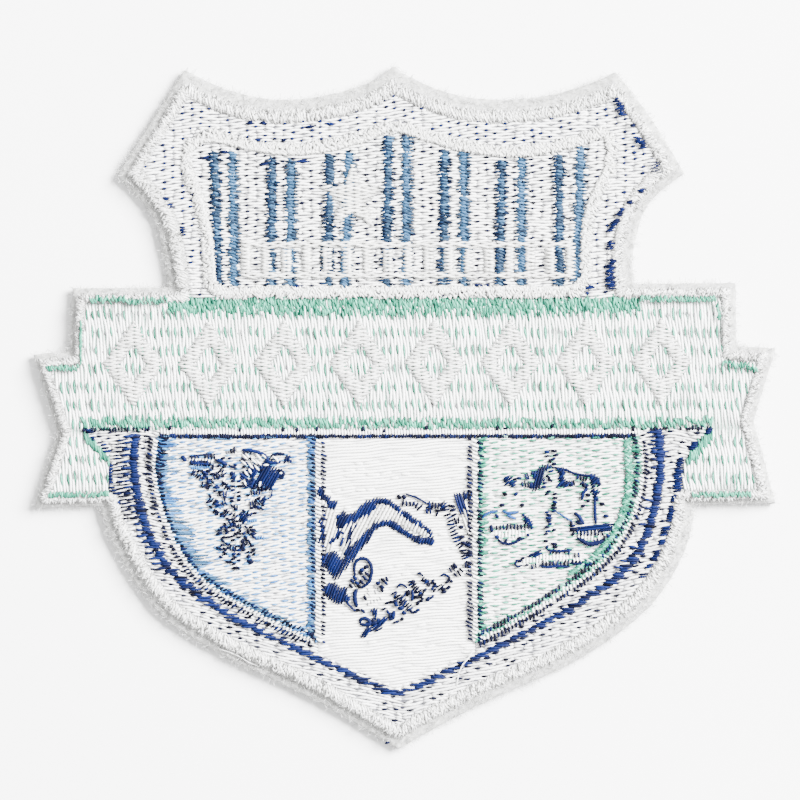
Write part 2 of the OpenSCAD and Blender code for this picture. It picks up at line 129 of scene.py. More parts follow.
camera_data = bpy.data.cameras.new("camera")
camera = linked(bpy.data.objects.new("camera", camera_data))
bpy.context.scene.camera = camera
seen_width = PICTURE / PIXELS_PER_MM
camera_data.sensor_width = SENSOR
camera_data.lens = SENSOR * (CAMERA_HEIGHT - BACK_Z) / seen_width
camera_data.clip_start = NEAR
camera_data.clip_end = FAR
middle = PICTURE / 2
camera.location = ((middle - PATCH_AT[0]) / PIXELS_PER_MM * MM,
                   (PATCH_AT[1] - middle) / PIXELS_PER_MM * MM, CAMERA_HEIGHT * MM)
print("lens:", round(camera_data.lens, 1), "mm, picture width:", round(seen_width, 2), "mm")

# %% [markdown]
# ## Floor and light
#
# The patch lies on a white sweep that is lit almost to clipping. A wide softbox up and to
# the right throws the soft shadow that lies to the left of the patch, and a pale world
# fills the rest.

# %% Floor and light
FLOOR_SIZE = 4.0  # m
FLOOR_WHITE = 0.85
KEY_POWER = 300.0  # W
KEY_SIZE = 0.75  # m
KEY_AT = (1.0, 0.55, 0.9)  # m
WORLD_LEVEL = 1.75

reach = FLOOR_SIZE / 2
floor_mesh = bpy.data.meshes.new("floor")
floor_mesh.from_pydata([(-reach, -reach, 0), (reach, -reach, 0), (reach, reach, 0),
                        (-reach, reach, 0)], [], [(0, 1, 2, 3)])
floor_mesh.materials.append(new_material("white_sweep", {
    "Base Color": (FLOOR_WHITE, FLOOR_WHITE, FLOOR_WHITE, 1), "Roughness": 0.9})[0])
floor = linked(bpy.data.objects.new("floor", floor_mesh))

key_data = bpy.data.lights.new("softbox", "AREA")
key_data.energy = KEY_POWER
key_data.size = KEY_SIZE
key = linked(bpy.data.objects.new("softbox", key_data))
key.location = KEY_AT
key.rotation_euler = (-Vector(KEY_AT)).to_track_quat("-Z", "Y").to_euler()

world = bpy.data.worlds.new("studio")
world.use_nodes = True
feed(world.node_tree, world.node_tree.nodes["Background"],
     {"Color": (1.0, 1.0, 1.0, 1), "Strength": WORLD_LEVEL})
bpy.context.scene.world = world
print("softbox", KEY_POWER, "W, world", WORLD_LEVEL)

# %% [markdown]
# ## Outlines from the frame
#
# Stitches stop where a field stops. Each CAD node is a flat plate, so the edges that only
# one triangle of its top face uses are the field's outline. Walking along them gives closed
# loops, in millimetres. Details that the plates don't have, such as the strokes of a figure,
# are read off the photograph in pixels and brought to the same millimetres.


# %% Outlines
SAME_LEVEL = 0.01  # mm


def flat_edges(node, height=None):
    """Directed edges round a CAD node's level face, its top one if no height is given."""
    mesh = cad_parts[node].data
    mesh.calc_loop_triangles()
    places = np.array([v.co for v in mesh.vertices]) / MM
    corners = places[np.array([t.vertices for t in mesh.loop_triangles])]
    height = corners[:, :, 2].max() if height is None else height
    level = corners[np.abs(corners[:, :, 2] - height).max(axis=1) < SAME_LEVEL]
    edges = set()
    for corner in np.round(level[:, :, :2], 3):
        for i in range(3):
            a, b = tuple(corner[i]), tuple(corner[(i + 1) % 3])
            if (b, a) in edges:
                edges.remove((b, a))
            elif a != b:
                edges.add((a, b))
    return edges


def loops(node, height=None):
    """The closed loops round that face, the longest first."""
    following = dict(flat_edges(node, height))
    found = []
    while following:
        start, point = next(iter(following.items()))
        walked = [start]
        del following[start]
        while point != start:
            walked.append(point)
            point = following.pop(point)
        found.append(np.array(walked))
    return sorted(found, key=lambda loop: -path_length(loop))


def travelled(points):
    """Distance from the start of a path to each of its points, in mm."""
    return np.concatenate([[0], np.cumsum(np.linalg.norm(np.diff(points[:, :2], axis=0), axis=1))])


def path_length(points):
    """Length of a path, in mm."""
    return float(travelled(points)[-1])


def resampled(points, distances):
    """Points at these distances along a path, with whatever else their rows hold."""
    where = travelled(points)
    return np.stack([np.interp(distances, where, points[:, i])
                     for i in range(points.shape[1])], axis=1)


def between(a, b):
    """The path midway between two, with the distance between them as its width."""
    return np.hstack([(a + b) / 2, np.linalg.norm(a - b, axis=1, keepdims=True)])


def on_patch(points):
    """Photograph pixels to millimetres on the patch. A third number is a width in pixels."""
    made = np.array(points, float)
    made[:, 0] = (made[:, 0] - PATCH_AT[0]) / PIXELS_PER_MM
    made[:, 1] = (PATCH_AT[1] - made[:, 1]) / PIXELS_PER_MM
    made[:, 2:] /= PIXELS_PER_MM
    return made


print("outline of the ribbon:", [len(loop) for loop in loops("ribbon")], "points")

# %% [markdown]
# ## Thread from a plan
#
# A stitch goes down at one needle hole, lies over the cloth, and goes down at the next. In
# the plan it is a chain of edges, with three numbers on its points: radius, rise and shade.
# The tree turns each chain into a curve, lifts its middle, thins its ends and sweeps a
# flattened ring along it. It also keeps the distance along and round the thread, so that a
# material can twist the plies. Doing this in one tree means that every thread on the patch
# has the same build.


# %% Thread tree
END_WIDTH = 0.55  # share of its width that a thread keeps where it dives into the cloth
WOBBLE_SCALE = 900.0  # of the noise that bends threads, in waves per metre


def new_tree(name, inputs):
    """An empty tree, the sockets that it is given, and the socket that it fills."""
    tree = bpy.data.node_groups.new(name, "GeometryNodeTree")
    for way in ("INPUT", "OUTPUT"):
        tree.interface.new_socket("Geometry", in_out=way, socket_type="NodeSocketGeometry")
    for label, kind, value in inputs:
        socket = tree.interface.new_socket(label, in_out="INPUT", socket_type="NodeSocket" + kind)
        if value is not None:
            socket.default_value = value
    given = tree.nodes.new("NodeGroupInput").outputs
    return tree, given, tree.nodes.new("NodeGroupOutput").inputs["Geometry"]


def end_tree(tree, geometry, material, out, smooth=True):
    """Ends a tree: smooth faces if wanted, then one plain mesh in one material."""
    if smooth:
        geometry = add(tree, "GeometryNodeSetShadeSmooth", {"Geometry": geometry}).outputs[0]
    plain = add(tree, "GeometryNodeRealizeInstances", {"Geometry": geometry}).outputs[0]
    paint = add(tree, "GeometryNodeSetMaterial", {"Geometry": plain, "Material": material})
    tree.links.new(paint.outputs[0], out)
    return tree


def named_float(tree, name):
    """The value of a named number on the plan's points."""
    return add(tree, "GeometryNodeInputNamedAttribute", {"Name": name},
               data_type="FLOAT").outputs["Attribute"]


def kept_float(tree, geometry, name, value):
    """Stores a number on each point, and returns the geometry that has it."""
    return add(tree, "GeometryNodeStoreNamedAttribute",
               {"Geometry": geometry, "Name": name, "Value": value},
               data_type="FLOAT", domain="POINT").outputs["Geometry"]


def thread_tree():
    """Turns the edges of a plan into threads."""
    tree, given, out = new_tree("threads_from_plan", [
        ("Steps", "Int", 6), ("Sides", "Int", 5), ("Flatness", "Float", 0.8),
        ("Arch", "Float", 4.0), ("Wobble", "Float", 0.00004), ("Material", "Material", None)])
    calc = partial(maths, tree)
    curve = add(tree, "GeometryNodeMeshToCurve", {"Mesh": given["Geometry"]})
    even = add(tree, "GeometryNodeResampleCurve",
               {"Curve": curve.outputs["Curve"], "Count": given["Steps"]}, mode="COUNT")
    spline = add(tree, "GeometryNodeSplineParameter").outputs
    swing = calc("ABSOLUTE", calc("SUBTRACT", calc("MULTIPLY", spline["Factor"], 2.0), 1.0))
    arch = calc("SUBTRACT", 1.0, calc("POWER", swing, given["Arch"]))
    rise = calc("MULTIPLY", named_float(tree, "rise"), arch)
    noise = add(tree, "ShaderNodeTexNoise", {"Scale": WOBBLE_SCALE, "Detail": 0.0})
    centred = vectors(tree, "SUBTRACT", {0: noise.outputs["Color"], 1: (0.5, 0.5, 0.5)})
    wobble = vectors(tree, "SCALE", {0: centred, "Scale": given["Wobble"]})
    lift = add(tree, "ShaderNodeCombineXYZ", {"Z": rise}).outputs[0]
    offset = vectors(tree, "ADD", {0: wobble, 1: lift})
    moved = add(tree, "GeometryNodeSetPosition",
                {"Geometry": even.outputs["Curve"], "Offset": offset})
    upright = add(tree, "GeometryNodeSetCurveNormal", {"Curve": moved.outputs["Geometry"]},
                  mode="Z_UP")
    marked = kept_float(tree, upright.outputs["Curve"], "along", spline["Length"])
    marked = kept_float(tree, marked, "reach", arch)

    ring = add(tree, "GeometryNodeCurvePrimitiveCircle", {"Resolution": given["Sides"]})
    turned = add(tree, "GeometryNodeTransform",
                 {"Geometry": ring.outputs["Curve"], "Rotation": (0, 0, math.radians(-90))})
    squash = add(tree, "ShaderNodeCombineXYZ", {"X": 1.0, "Y": given["Flatness"], "Z": 1.0})
    flat = add(tree, "GeometryNodeTransform",
               {"Geometry": turned.outputs["Geometry"], "Scale": squash.outputs[0]})
    profile = kept_float(tree, flat.outputs["Geometry"], "around", spline["Factor"])
    taper = calc("ADD", END_WIDTH, calc("MULTIPLY", arch, 1 - END_WIDTH))
    sweep = add(tree, "GeometryNodeCurveToMesh",
                {"Curve": marked, "Profile Curve": profile, "Fill Caps": True,
                 "Scale": calc("MULTIPLY", named_float(tree, "radius_m"), taper)})
    return end_tree(tree, sweep.outputs["Mesh"], given["Material"], out)


THREADS = thread_tree()
print("thread tree:", len(THREADS.nodes), "nodes")

# %% [markdown]
# ## Sewing a plan
#
# A plan is a list of stitches. Each has its points, its radius and the rise of its middle.
# The shade is a random number that lets the material vary from stitch to stitch. The
# modifier's inputs are set by identifier before the object is first evaluated, and the
# result becomes a plain mesh that rides on the patch. A thread is a material and the name of
# a slot, but only the material reaches the piece. Where two tones of thread mix, the stitches
# are dealt between them.


# %% Sewing
FLATNESS = 0.8  # height of a thread, as a share of its width
WOBBLE = 0.05  # mm that noise may bend a thread


def set_inputs(modifier, tree, values):
    """Sets a modifier's inputs through the identifiers of the sockets with these names."""
    for item in tree.interface.items_tree:
        if item.item_type == "SOCKET" and item.in_out == "INPUT" and item.name in values:
            modifier[item.identifier] = values[item.name]


def built(name, plan, tree, values):
    """Runs a tree over a plan's mesh and returns the result as a plain object."""
    source = linked(bpy.data.objects.new(name + "_plan", plan))
    modifier = source.modifiers.new("build", "NODES")
    modifier.node_group = tree
    set_inputs(modifier, tree, values)
    graph = bpy.context.evaluated_depsgraph_get()
    mesh = bpy.data.meshes.new_from_object(source.evaluated_get(graph))
    mesh.name = name
    source.modifiers.remove(modifier)
    bpy.data.objects.remove(source)
    bpy.data.meshes.remove(plan)
    return linked(bpy.data.objects.new(name, mesh))


def plan_mesh(name, stitches, seed):
    """One chain of edges for each stitch. A stitch is (points, radius, rise), in mm."""
    chance = random.Random(seed)
    places, edges, radii, rises, shades = [], [], [], [], []
    for points, radius, rise in stitches:
        first = len(places)
        places += [tuple(float(c) * MM for c in p) for p in points]
        edges += [(i, i + 1) for i in range(first, len(places) - 1)]
        count = len(points)
        radii += [radius * MM] * count
        rises += [rise * MM] * count
        shades += [chance.random()] * count
    mesh = bpy.data.meshes.new(name + "_plan")
    mesh.from_pydata(places, edges, [])
    for label, values in (("radius_m", radii), ("rise", rises), ("shade", shades)):
        mesh.attributes.new(label, "FLOAT", "POINT").data.foreach_set("value", values)
    return mesh


def sew(name, stitches, thread, stands_for=(), steps=6, sides=5, arch=4.0, slot=None):
    """Makes one piece of threads from a plan, and hands it to the frame."""
    material, own_slot = thread
    piece = built(name, plan_mesh(name, stitches, len(name)), THREADS, {
        "Steps": steps, "Sides": sides, "Flatness": FLATNESS, "Arch": arch,
        "Wobble": WOBBLE * MM, "Material": material})
    if stands_for:
        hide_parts(*stands_for)
    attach(piece, "root")
    slot or own_slot
    triangles = sum(len(p.vertices) - 2 for p in piece.data.polygons)
    print(f"{name}: {len(stitches)} stitches, {triangles} triangles")


def dealt(spots, share, seed):
    """Deals spots or stitches at random into two hands, the first with this share of them."""
    dice = random.Random(seed)
    first, second = [], []
    for spot in spots:
        (first if dice.random() < share else second).append(spot)
    return first, second


def sew_two(name, thread, other_name, other_thread, stitches, share, seed, stands_for=(),
            **options):
    """Sews stitches as one piece, apart from a share that becomes another piece."""
    others, most = dealt(stitches, share, seed)
    sew(name, most, thread, stands_for, **options)
    sew(other_name, others, other_thread, **options)


def sew_halves(name, stitches, thread, **options):
    """Sews a long line as two pieces, so that neither grows too large."""
    half = len(stitches) // 2
    sew(name + "_a", stitches[:half], thread, **options)
    sew(name + "_b", stitches[half:], thread, **options)


print("threads are", FLATNESS, "as high as wide")

# %% [markdown]
# ## Thread material
#
# Bobbin thread is spun polyester: a soft sheen, plies that twist round each other, and small
# changes of tone from stitch to stitch. The twist reads the distance along and round the
# thread, so it follows every bend. Shade is also painted into the colour, which darkens in the
# groove between the plies and where the thread dives into its hole. The studio is bright, so
# the dyed threads are deep colours with little gloss, or they would wash out.


# %% Thread material
PLY_TURN = 0.55  # mm of thread for one turn of the plies


def attribute(tree, name):
    """The value of one of the thread's own numbers."""
    return add(tree, "ShaderNodeAttribute", attribute_name=name).outputs["Fac"]


def mixed(tree, factor, colour, tint):
    """A colour between two others."""
    return add(tree, "ShaderNodeMix", {"Factor": factor, "A": (*colour, 1), "B": (*tint, 1)},
               data_type="RGBA").outputs["Result"]


def thread(tone, name, colour, tint, sheen=0.12, groove=0.45, hole=0.5, specular=0.3):
    """Twisted thread that varies between two colours: its material and its slot.

    It is darkened by painted shade: by the share groove between the plies, and by the share hole at
    its ends."""
    made, tree, shader = new_material(name, {
        "Roughness": 0.55, "Sheen Weight": sheen, "Sheen Roughness": 0.4,
        "Specular IOR Level": specular})
    calc = partial(maths, tree)
    turns = calc("ADD", calc("MULTIPLY", attribute(tree, "around"), 2.0),
                 calc("DIVIDE", attribute(tree, "along"), PLY_TURN * MM))
    wave = calc("SINE", calc("MULTIPLY", turns, 2 * math.pi))
    ply = calc("ADD", calc("MULTIPLY", wave, 0.5), 0.5)
    # painted shade in the groove between the plies, and towards the hole at each end
    cleft = calc("POWER", calc("SUBTRACT", 1.0, ply), 3.0)
    light = calc("MULTIPLY", calc("SUBTRACT", 1.0, calc("MULTIPLY", cleft, groove)),
                 calc("ADD", 1 - hole, calc("MULTIPLY", attribute(tree, "reach"), hole)))
    shade = mixed(tree, attribute(tree, "shade"), colour, tint)
    bump = add(tree, "ShaderNodeBump", {"Height": ply, "Strength": 0.5, "Distance": 0.00004})
    feed(tree, shader, {"Base Color": vectors(tree, "SCALE", {0: shade, "Scale": light}),
                        "Normal": bump.outputs["Normal"]})
    return made, "thread_" + tone


def dyed(tone, name, colour, tint, specular=0.1, sheen=0.0):
    """A dark thread with little gloss."""
    return thread(tone, "thread_" + name, colour, tint, sheen, specular=specular)


BOBBIN = thread("white", "bobbin_white", (0.96, 0.96, 0.95), (0.84, 0.845, 0.85), groove=0.3)
# The band's stitches mix towards a much darker grey and darken more at their holes: painted shade,
# for the shadowed look of the band.
BAND_WHITE = thread("white", "band_white", (0.92, 0.92, 0.915), (0.62, 0.62, 0.63), groove=0.35,
                    hole=0.65)
CLEAN_WHITE = thread("white", "clean_white", (0.97, 0.97, 0.955), (0.92, 0.92, 0.905),
                     groove=0.12, hole=0.2)
# A dark second tone and deep darkening in the groove and at the holes: painted shade between the
# threads of the ridge, the edge and the hand's white strokes.
EDGE_WHITE = thread("white", "edge_white", (0.9, 0.9, 0.885), (0.58, 0.58, 0.57), groove=0.55,
                    hole=0.6)
EDGE_GREY = thread("white", "edge_grey", (0.09, 0.09, 0.088), (0.26, 0.26, 0.25), groove=0.4)
# A dark second tone and deep darkening in the groove and at the holes: painted shade for the relief
# of the raised figures and the panel border.
RAISED_WHITE = thread("white", "raised_white", (0.88, 0.88, 0.862), (0.60, 0.60, 0.585),
                      groove=0.45, hole=0.6)
SHADOW = thread("white", "hole_shadow", (0.08, 0.08, 0.09), (0.26, 0.26, 0.28), sheen=0.0,
                specular=0.05)
NAVY = dyed("navy", "navy", (0.0015, 0.0028, 0.016), (0.0035, 0.008, 0.05), 0.06)
LINE_NAVY = dyed("navy", "line_navy", (0.002, 0.004, 0.024), (0.005, 0.012, 0.07))
INK = dyed("navy", "ink", (0.0012, 0.0014, 0.005), (0.004, 0.005, 0.018), 0.05)
DARK_BLUE = dyed("dark_blue", "dark_blue", (0.006, 0.013, 0.027), (0.024, 0.052, 0.095))
SLATE = dyed("dark_blue", "slate", (0.002, 0.005, 0.015), (0.006, 0.016, 0.042), 0.05)
MID_BLUE = dyed("mid_blue", "mid_blue", (0.016, 0.050, 0.10), (0.055, 0.14, 0.26))
STRAY_BLUE = dyed("mid_blue", "stray_blue", (0.004, 0.02, 0.09), (0.018, 0.07, 0.24))
LIGHT_BLUE = dyed("mid_blue", "light_blue", (0.006, 0.045, 0.17), (0.04, 0.17, 0.40), 0.15, 0.02)
PALE_BLUE = dyed("mid_blue", "pale_blue", (0.03, 0.13, 0.36), (0.10, 0.30, 0.56), 0.15, 0.02)
MINT = dyed("mint", "mint", (0.005, 0.12, 0.07), (0.07, 0.38, 0.26), 0.15, 0.02)
# a lighter copy of the mint: painted highlight on the slanted stitches
HIGHLIT_MINT = dyed("mint", "painted_highlight_mint", (0.12, 0.46, 0.36), (0.42, 0.74, 0.66), 0.15, 0.02)
# a darker copy of the mint: painted shade on the slanted stitches
SHADED_MINT = dyed("mint", "painted_shade_mint", (0.002, 0.055, 0.035), (0.02, 0.18, 0.12))
print("materials:", [m.name for m in bpy.data.materials])

# %% [markdown]
# ## Cloth material
#
# Between the threads the ground shows. It lies in the shade of the threads, and that shade is
# painted into it: each ground is far darker than the cloth, mostly in the tone of the top
# thread that fills the holes, so each field has a ground of its own tone.
# Fine noise gives it the look of felted interlining, with a soft bump.


# %% Cloth material
def felt_material(name, colour, tint, scale=3000.0):
    """Matt felted cloth on Object coordinates."""
    made, tree, shader = new_material(name, {
        "Roughness": 0.95, "Specular IOR Level": 0.1, "Sheen Weight": 0.1})
    where = add(tree, "ShaderNodeTexCoord").outputs["Object"]
    grain = add(tree, "ShaderNodeTexNoise",
                {"Vector": where, "Scale": scale, "Detail": 3.0}).outputs["Fac"]
    spread = add(tree, "ShaderNodeMapRange", {"Value": grain, "From Min": 0.3, "From Max": 0.7})
    bump = add(tree, "ShaderNodeBump", {"Height": grain, "Distance": 0.00008})
    feed(tree, shader, {"Base Color": mixed(tree, spread.outputs["Result"], colour, tint),
                        "Normal": bump.outputs["Normal"]})
    return made


# painted shade: every ground, the white one too, is far darker than the cloth it stands for
SHADED_GROUNDS = {
    "navy": felt_material("shaded_ground_navy", (0.05, 0.05, 0.07), (0.20, 0.20, 0.22)),
    "grey": felt_material("shaded_ground_grey", (0.05, 0.05, 0.06), (0.18, 0.18, 0.19)),
    "mint": felt_material("shaded_ground_mint", (0.13, 0.24, 0.20), (0.38, 0.49, 0.44)),
    "blue": felt_material("shaded_ground_blue", (0.07, 0.10, 0.16), (0.24, 0.28, 0.34)),
    "white": felt_material("shaded_ground_white", (0.40, 0.40, 0.40), (0.60, 0.60, 0.60)),
}
# The edge's cloth is white; the lip's felt and its fibres are painted grey, as painted shade on the
# edge's outer slope.
LIP = felt_material("edge_felt", (0.22, 0.22, 0.215), (0.46, 0.46, 0.45), scale=1500.0)
FIBRE = felt_material("edge_fibre", (0.34, 0.34, 0.335), (0.62, 0.62, 0.61))


def dress(node, material):
    """Gives a CAD node one material."""
    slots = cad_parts[node].data.materials
    for i in range(len(slots)):
        slots[i] = material
    if not len(slots):
        slots.append(material)


for node, ground in (("crest_field", "navy"), ("column_panel", "grey"), ("ribbon", "mint"),
                     ("tail_left", "mint"), ("tail_right", "mint"), ("shield_band", "navy"),
                     ("panel_left", "blue"), ("panel_centre", "white"),
                     ("panel_right", "mint"), ("base_cloth", "white")):
    dress(node, SHADED_GROUNDS[ground])
print("grounds:", list(SHADED_GROUNDS))

# %% [markdown]
# ## Rows of fill stitches
#
# A fill is rows of running stitches. A row crosses the outline at pairs of points, and
# between them the needle goes down in upright columns. Rows are seldom quite level: a lift
# gives the height that a row gains from side to side, so rows may slope, wave or bend round
# the shield's point. Rows come in pairs, and the coloured thread shows in the gap between
# two pairs as a short dash at some holes. The other holes get a dark mark in the shadow
# thread, which is painted shade.

# %% Fill
FIELD_Z = float(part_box("ribbon")[1].z) / MM  # top of the fields
FILL_RADIUS = 0.175  # mm
ROW_PITCH = 0.41  # mm between rows of bobbin thread
HOLE_PITCH = 1.24  # mm between columns of needle holes
HOLE_X = -21.2  # mm, x of one column
OFF_CORNER = 0.0007  # mm that keeps rows off the corners of outlines
SHORTEST = 0.25  # mm, a shorter run of a row is left out
END_MARGIN = 0.3  # of the hole pitch, free of holes at the ends of a row
DASH_SWING = 8.0  # degrees that a dash may turn


def runs(edges, lift, pitch):
    """Where rows cross the edges of an outline: height, start and end of each run, and the
    number of its row."""
    bits = []
    for a, b in edges:
        steps = np.linspace(a, b, max(2, math.ceil(np.linalg.norm(b - a)) + 1))
        bits += zip(steps[:-1], steps[1:])
    bits = np.array(bits)
    u = bits[:, :, 0]
    v = bits[:, :, 1] - lift(u)
    for number in range(math.ceil(v.min() / pitch), math.floor(v.max() / pitch) + 1):
        height = number * pitch + OFF_CORNER
        cut = (v[:, 0] - height) * (v[:, 1] - height) < 0
        share = (height - v[cut, 0]) / (v[cut, 1] - v[cut, 0])
        ends = sorted(u[cut, 0] + share * (u[cut, 1] - u[cut, 0]))
        for start, end in zip(ends[::2], ends[1::2]):
            yield height, start, end, number


def rows(node, lift, pitch, upright=False):
    """The runs of rows inside a node's outline."""
    edges = np.array(list(flat_edges(node)))
    return runs(edges[:, :, ::-1] if upright else edges, lift, pitch)


def fill(node, lift, seed, pitch=ROW_PITCH, length=HOLE_PITCH, upright=False, phase=HOLE_X,
         dive=0.5, rise=0.12, z=FIELD_Z, jitter=0.08, part=0.07, sway=0.1):
    """Rows of stitches over a node, and the needle holes between them.

    Holes stand in columns, every second one half a step up. Rows part round a hole, by the
    distance part, and dive is the chance that a white thread goes down at one."""
    dice = random.Random(seed)

    def place(u, v):
        v += sway * math.sin(0.9 * u + 0.5 * v) + lift(u)
        return (float(v), float(u), z) if upright else (float(u), float(v), z)

    stitches, holes = [], []
    for v, start, end, number in rows(node, lift, pitch, upright):
        if end - start < SHORTEST:
            continue
        first = math.ceil((start + END_MARGIN * length - phase) / length)
        last = math.floor((end - END_MARGIN * length - phase) / length)
        stitch = [place(start, v)]
        size = FILL_RADIUS * dice.uniform(0.9, 1.1)
        for step in range(first, last + 1):
            u = phase + step * length + 0.12 * math.sin(1.7 * v + step)
            u += dice.uniform(-jitter, jitter)
            aside = part if (number + step) % 2 else -part
            if aside < 0:
                holes.append(place(u, v + pitch / 2))
            stitch.append(place(u, v + aside + dice.uniform(-0.03, 0.03)))
            if dice.random() < dive:
                stitches.append((stitch, size, rise * dice.uniform(0.8, 1.2)))
                stitch = [stitch[-1]]
                size = FILL_RADIUS * dice.uniform(0.9, 1.1)
        stitch.append(place(end, v))
        stitches.append((stitch, size, rise * dice.uniform(0.8, 1.2)))
    return stitches, holes


def bar(middle, turn, long, z):
    """Both ends of a level stitch of this length about a point, at an angle in radians."""
    half = np.array([math.cos(turn), math.sin(turn)]) * long / 2
    return (*(middle[:2] - half), z), (*(middle[:2] + half), z)


def dashes(spots, angle, length, radius, seed, above=0.2):
    """A short stitch at each spot, at about this angle in degrees."""
    dice = random.Random(seed)
    made = []
    for spot in spots:
        turn = math.radians(angle + dice.uniform(-DASH_SWING, DASH_SWING))
        long = 2 * length * dice.uniform(0.35, 0.65)
        made.append((bar(np.array(spot), turn, long, spot[2] + above),
                     radius * dice.uniform(0.75, 1.15), 0.08))
    return made


print("fields end at", round(FIELD_Z, 2), "mm")

# %% [markdown]
# ## The fields
#
# The fields are sewn in white with coloured marks. They could share one way of sewing, but
# on the photograph each has its own slope, its own density and its own colour, so each gets
# its own lift and settings. The ribbon's rows stand upright and lean a little. The middle
# panel is clean white and has no marks.


# %% Fields
RIBBON_ROWS = {"pitch": 0.43, "length": 2.45, "upright": True, "phase": 0.3, "jitter": 0.12,
               "part": 0.06, "dive": 0.35, "sway": 0.14}
SMOOTH_ROWS = {"pitch": 0.39, "dive": 0.25, "rise": 0.08, "jitter": 0.12, "part": 0.045}
RIBBON_LEAN = math.tan(math.radians(6.0))
NAVY_LINE_X = 36  # mm from the middle, where the shield's navy line runs


def lay_field(node, lift, coloured, mark, share, angle, slot="thread_white", white=BOBBIN,
              **options):
    """Sews one field and its marks. A mark is the length and radius of a coloured dash, and
    share is how many of the holes show one. The other holes get a dark mark in the shadow
    thread: painted shade."""
    stitches, holes = fill(node, lift, len(node), **options)
    sew(node + "_stitches", stitches, white, steps=7, arch=6.0, slot=slot)
    bright, dim = dealt(holes, share, seed=3)
    sew(node + "_marks", dashes(bright, angle, *mark, seed=5), coloured, steps=4)
    shade_marks = dashes(dim, angle, length=0.5, radius=0.1, seed=6, above=0.1)
    sew(node + "_dimples", shade_marks, SHADOW, steps=3, sides=4, slot=slot)


def ribbon_lift(y):
    """Upright rows that lean a little to the left."""
    return -RIBBON_LEAN * y


def shield_lift(x):
    """Rows that fall towards the shield's middle, and the other way outside its navy line."""
    return 0.2 * np.minimum(np.abs(x), NAVY_LINE_X) - 0.15 * np.maximum(np.abs(x) - NAVY_LINE_X, 0)


lay_field("crest_field", lambda x: 0.075 * x + 0.2 * np.sin(x / 6), NAVY, (0.45, 0.185), 0.48, 5.0)
lay_field("column_panel", lambda x: 0.05 * x + 0.1 * np.sin(x / 4), INK, (0.6, 0.145), 0.45, 3.0)
for node in ("ribbon", "tail_left", "tail_right"):
    lay_field(node, ribbon_lift, MINT, (1.4, 0.135), 0.86, 97.0, "thread_ribbon", **RIBBON_ROWS)
lay_field("shield_band", shield_lift, INK, (0.75, 0.15), 0.45, 0.0, white=BAND_WHITE, jitter=0.3)
lay_field("panel_left", lambda x: 0.12 * x, PALE_BLUE, (0.95, 0.15), 0.85, 7.0, **SMOOTH_ROWS)
lay_field("panel_right", lambda x: 0.07 * x, MINT, (0.95, 0.135), 0.75, 4.0, **SMOOTH_ROWS)
centre, _ = fill("panel_centre", lambda x: 0.09 * x, seed=8, length=1.6, jitter=0.4, dive=0.25,
                 part=0.02, rise=0.09)
sew("panel_centre_stitches", centre, CLEAN_WHITE, steps=7)

# %% [markdown]
# ## Lines between two sides
#
# Satin is stitches side by side across a line. Where the CAD outline gives a line its two
# sides, the satin is planned between them: the sides are found, matched point for point, and
# joined by rungs. The alternative, a middle line with a width, would lose the true outline.


# %% Satin between sides
SATIN_Z = FIELD_Z + 0.1  # mm, where satin goes into a field
TINY = 1e-6  # mm, keeps a length from being zero


def long_sides(loop):
    """Splits a line-shaped loop at its four sharpest corners into its two long sides."""
    before = loop - np.roll(loop, 1, axis=0)
    after = np.roll(loop, -1, axis=0) - loop
    turn = np.abs(np.arctan2(before[:, 0] * after[:, 1] - before[:, 1] * after[:, 0],
                             (before * after).sum(axis=1)))
    corner = sorted(np.argsort(turn)[-4:])
    rolled = np.roll(loop, -corner[0], axis=0)
    cuts = [c - corner[0] for c in corner] + [len(loop)]
    closed = np.vstack([rolled, rolled[:1]])
    sides = [closed[a:b + 1] for a, b in zip(cuts, cuts[1:])]
    lengths = [path_length(side) for side in sides]
    first = 0 if lengths[0] + lengths[2] > lengths[1] + lengths[3] else 1
    return sides[first], sides[first + 2][::-1]


def ring_sides(node, height=None):
    """Outer and inner side of a ring-shaped node, point for point, and closed."""
    outer, inner = loops(node, height)[:2]
    inner = inner[::-1]
    nearest = int(np.argmin(np.linalg.norm(inner - outer[0], axis=1)))
    inner = np.roll(inner, -nearest, axis=0)
    return np.vstack([outer, outer[:1]]), np.vstack([inner, inner[:1]])


def paired(a, b, pitch):
    """Both sides of a line, resampled so that their points face each other a pitch apart."""
    if len(a) == len(b):
        steps = np.maximum(np.linalg.norm(np.diff(a, axis=0), axis=1),
                           np.linalg.norm(np.diff(b, axis=0), axis=1))
        where = np.concatenate([[0], np.cumsum(steps)])
        spots = np.linspace(0, where[-1], max(3, round(where[-1] / pitch) + 1))
        return [np.stack([np.interp(spots, where, side[:, i]) for i in (0, 1)], axis=1)
                for side in (a, b)]
    count = max(3, round((path_length(a) + path_length(b)) / 2 / pitch) + 1)
    return [resampled(side, np.linspace(0, path_length(side), count)) for side in (a, b)]


def line_sides(node, pitch):
    """Both sides of a line-shaped node."""
    return paired(*long_sides(loops(node)[0]), pitch)


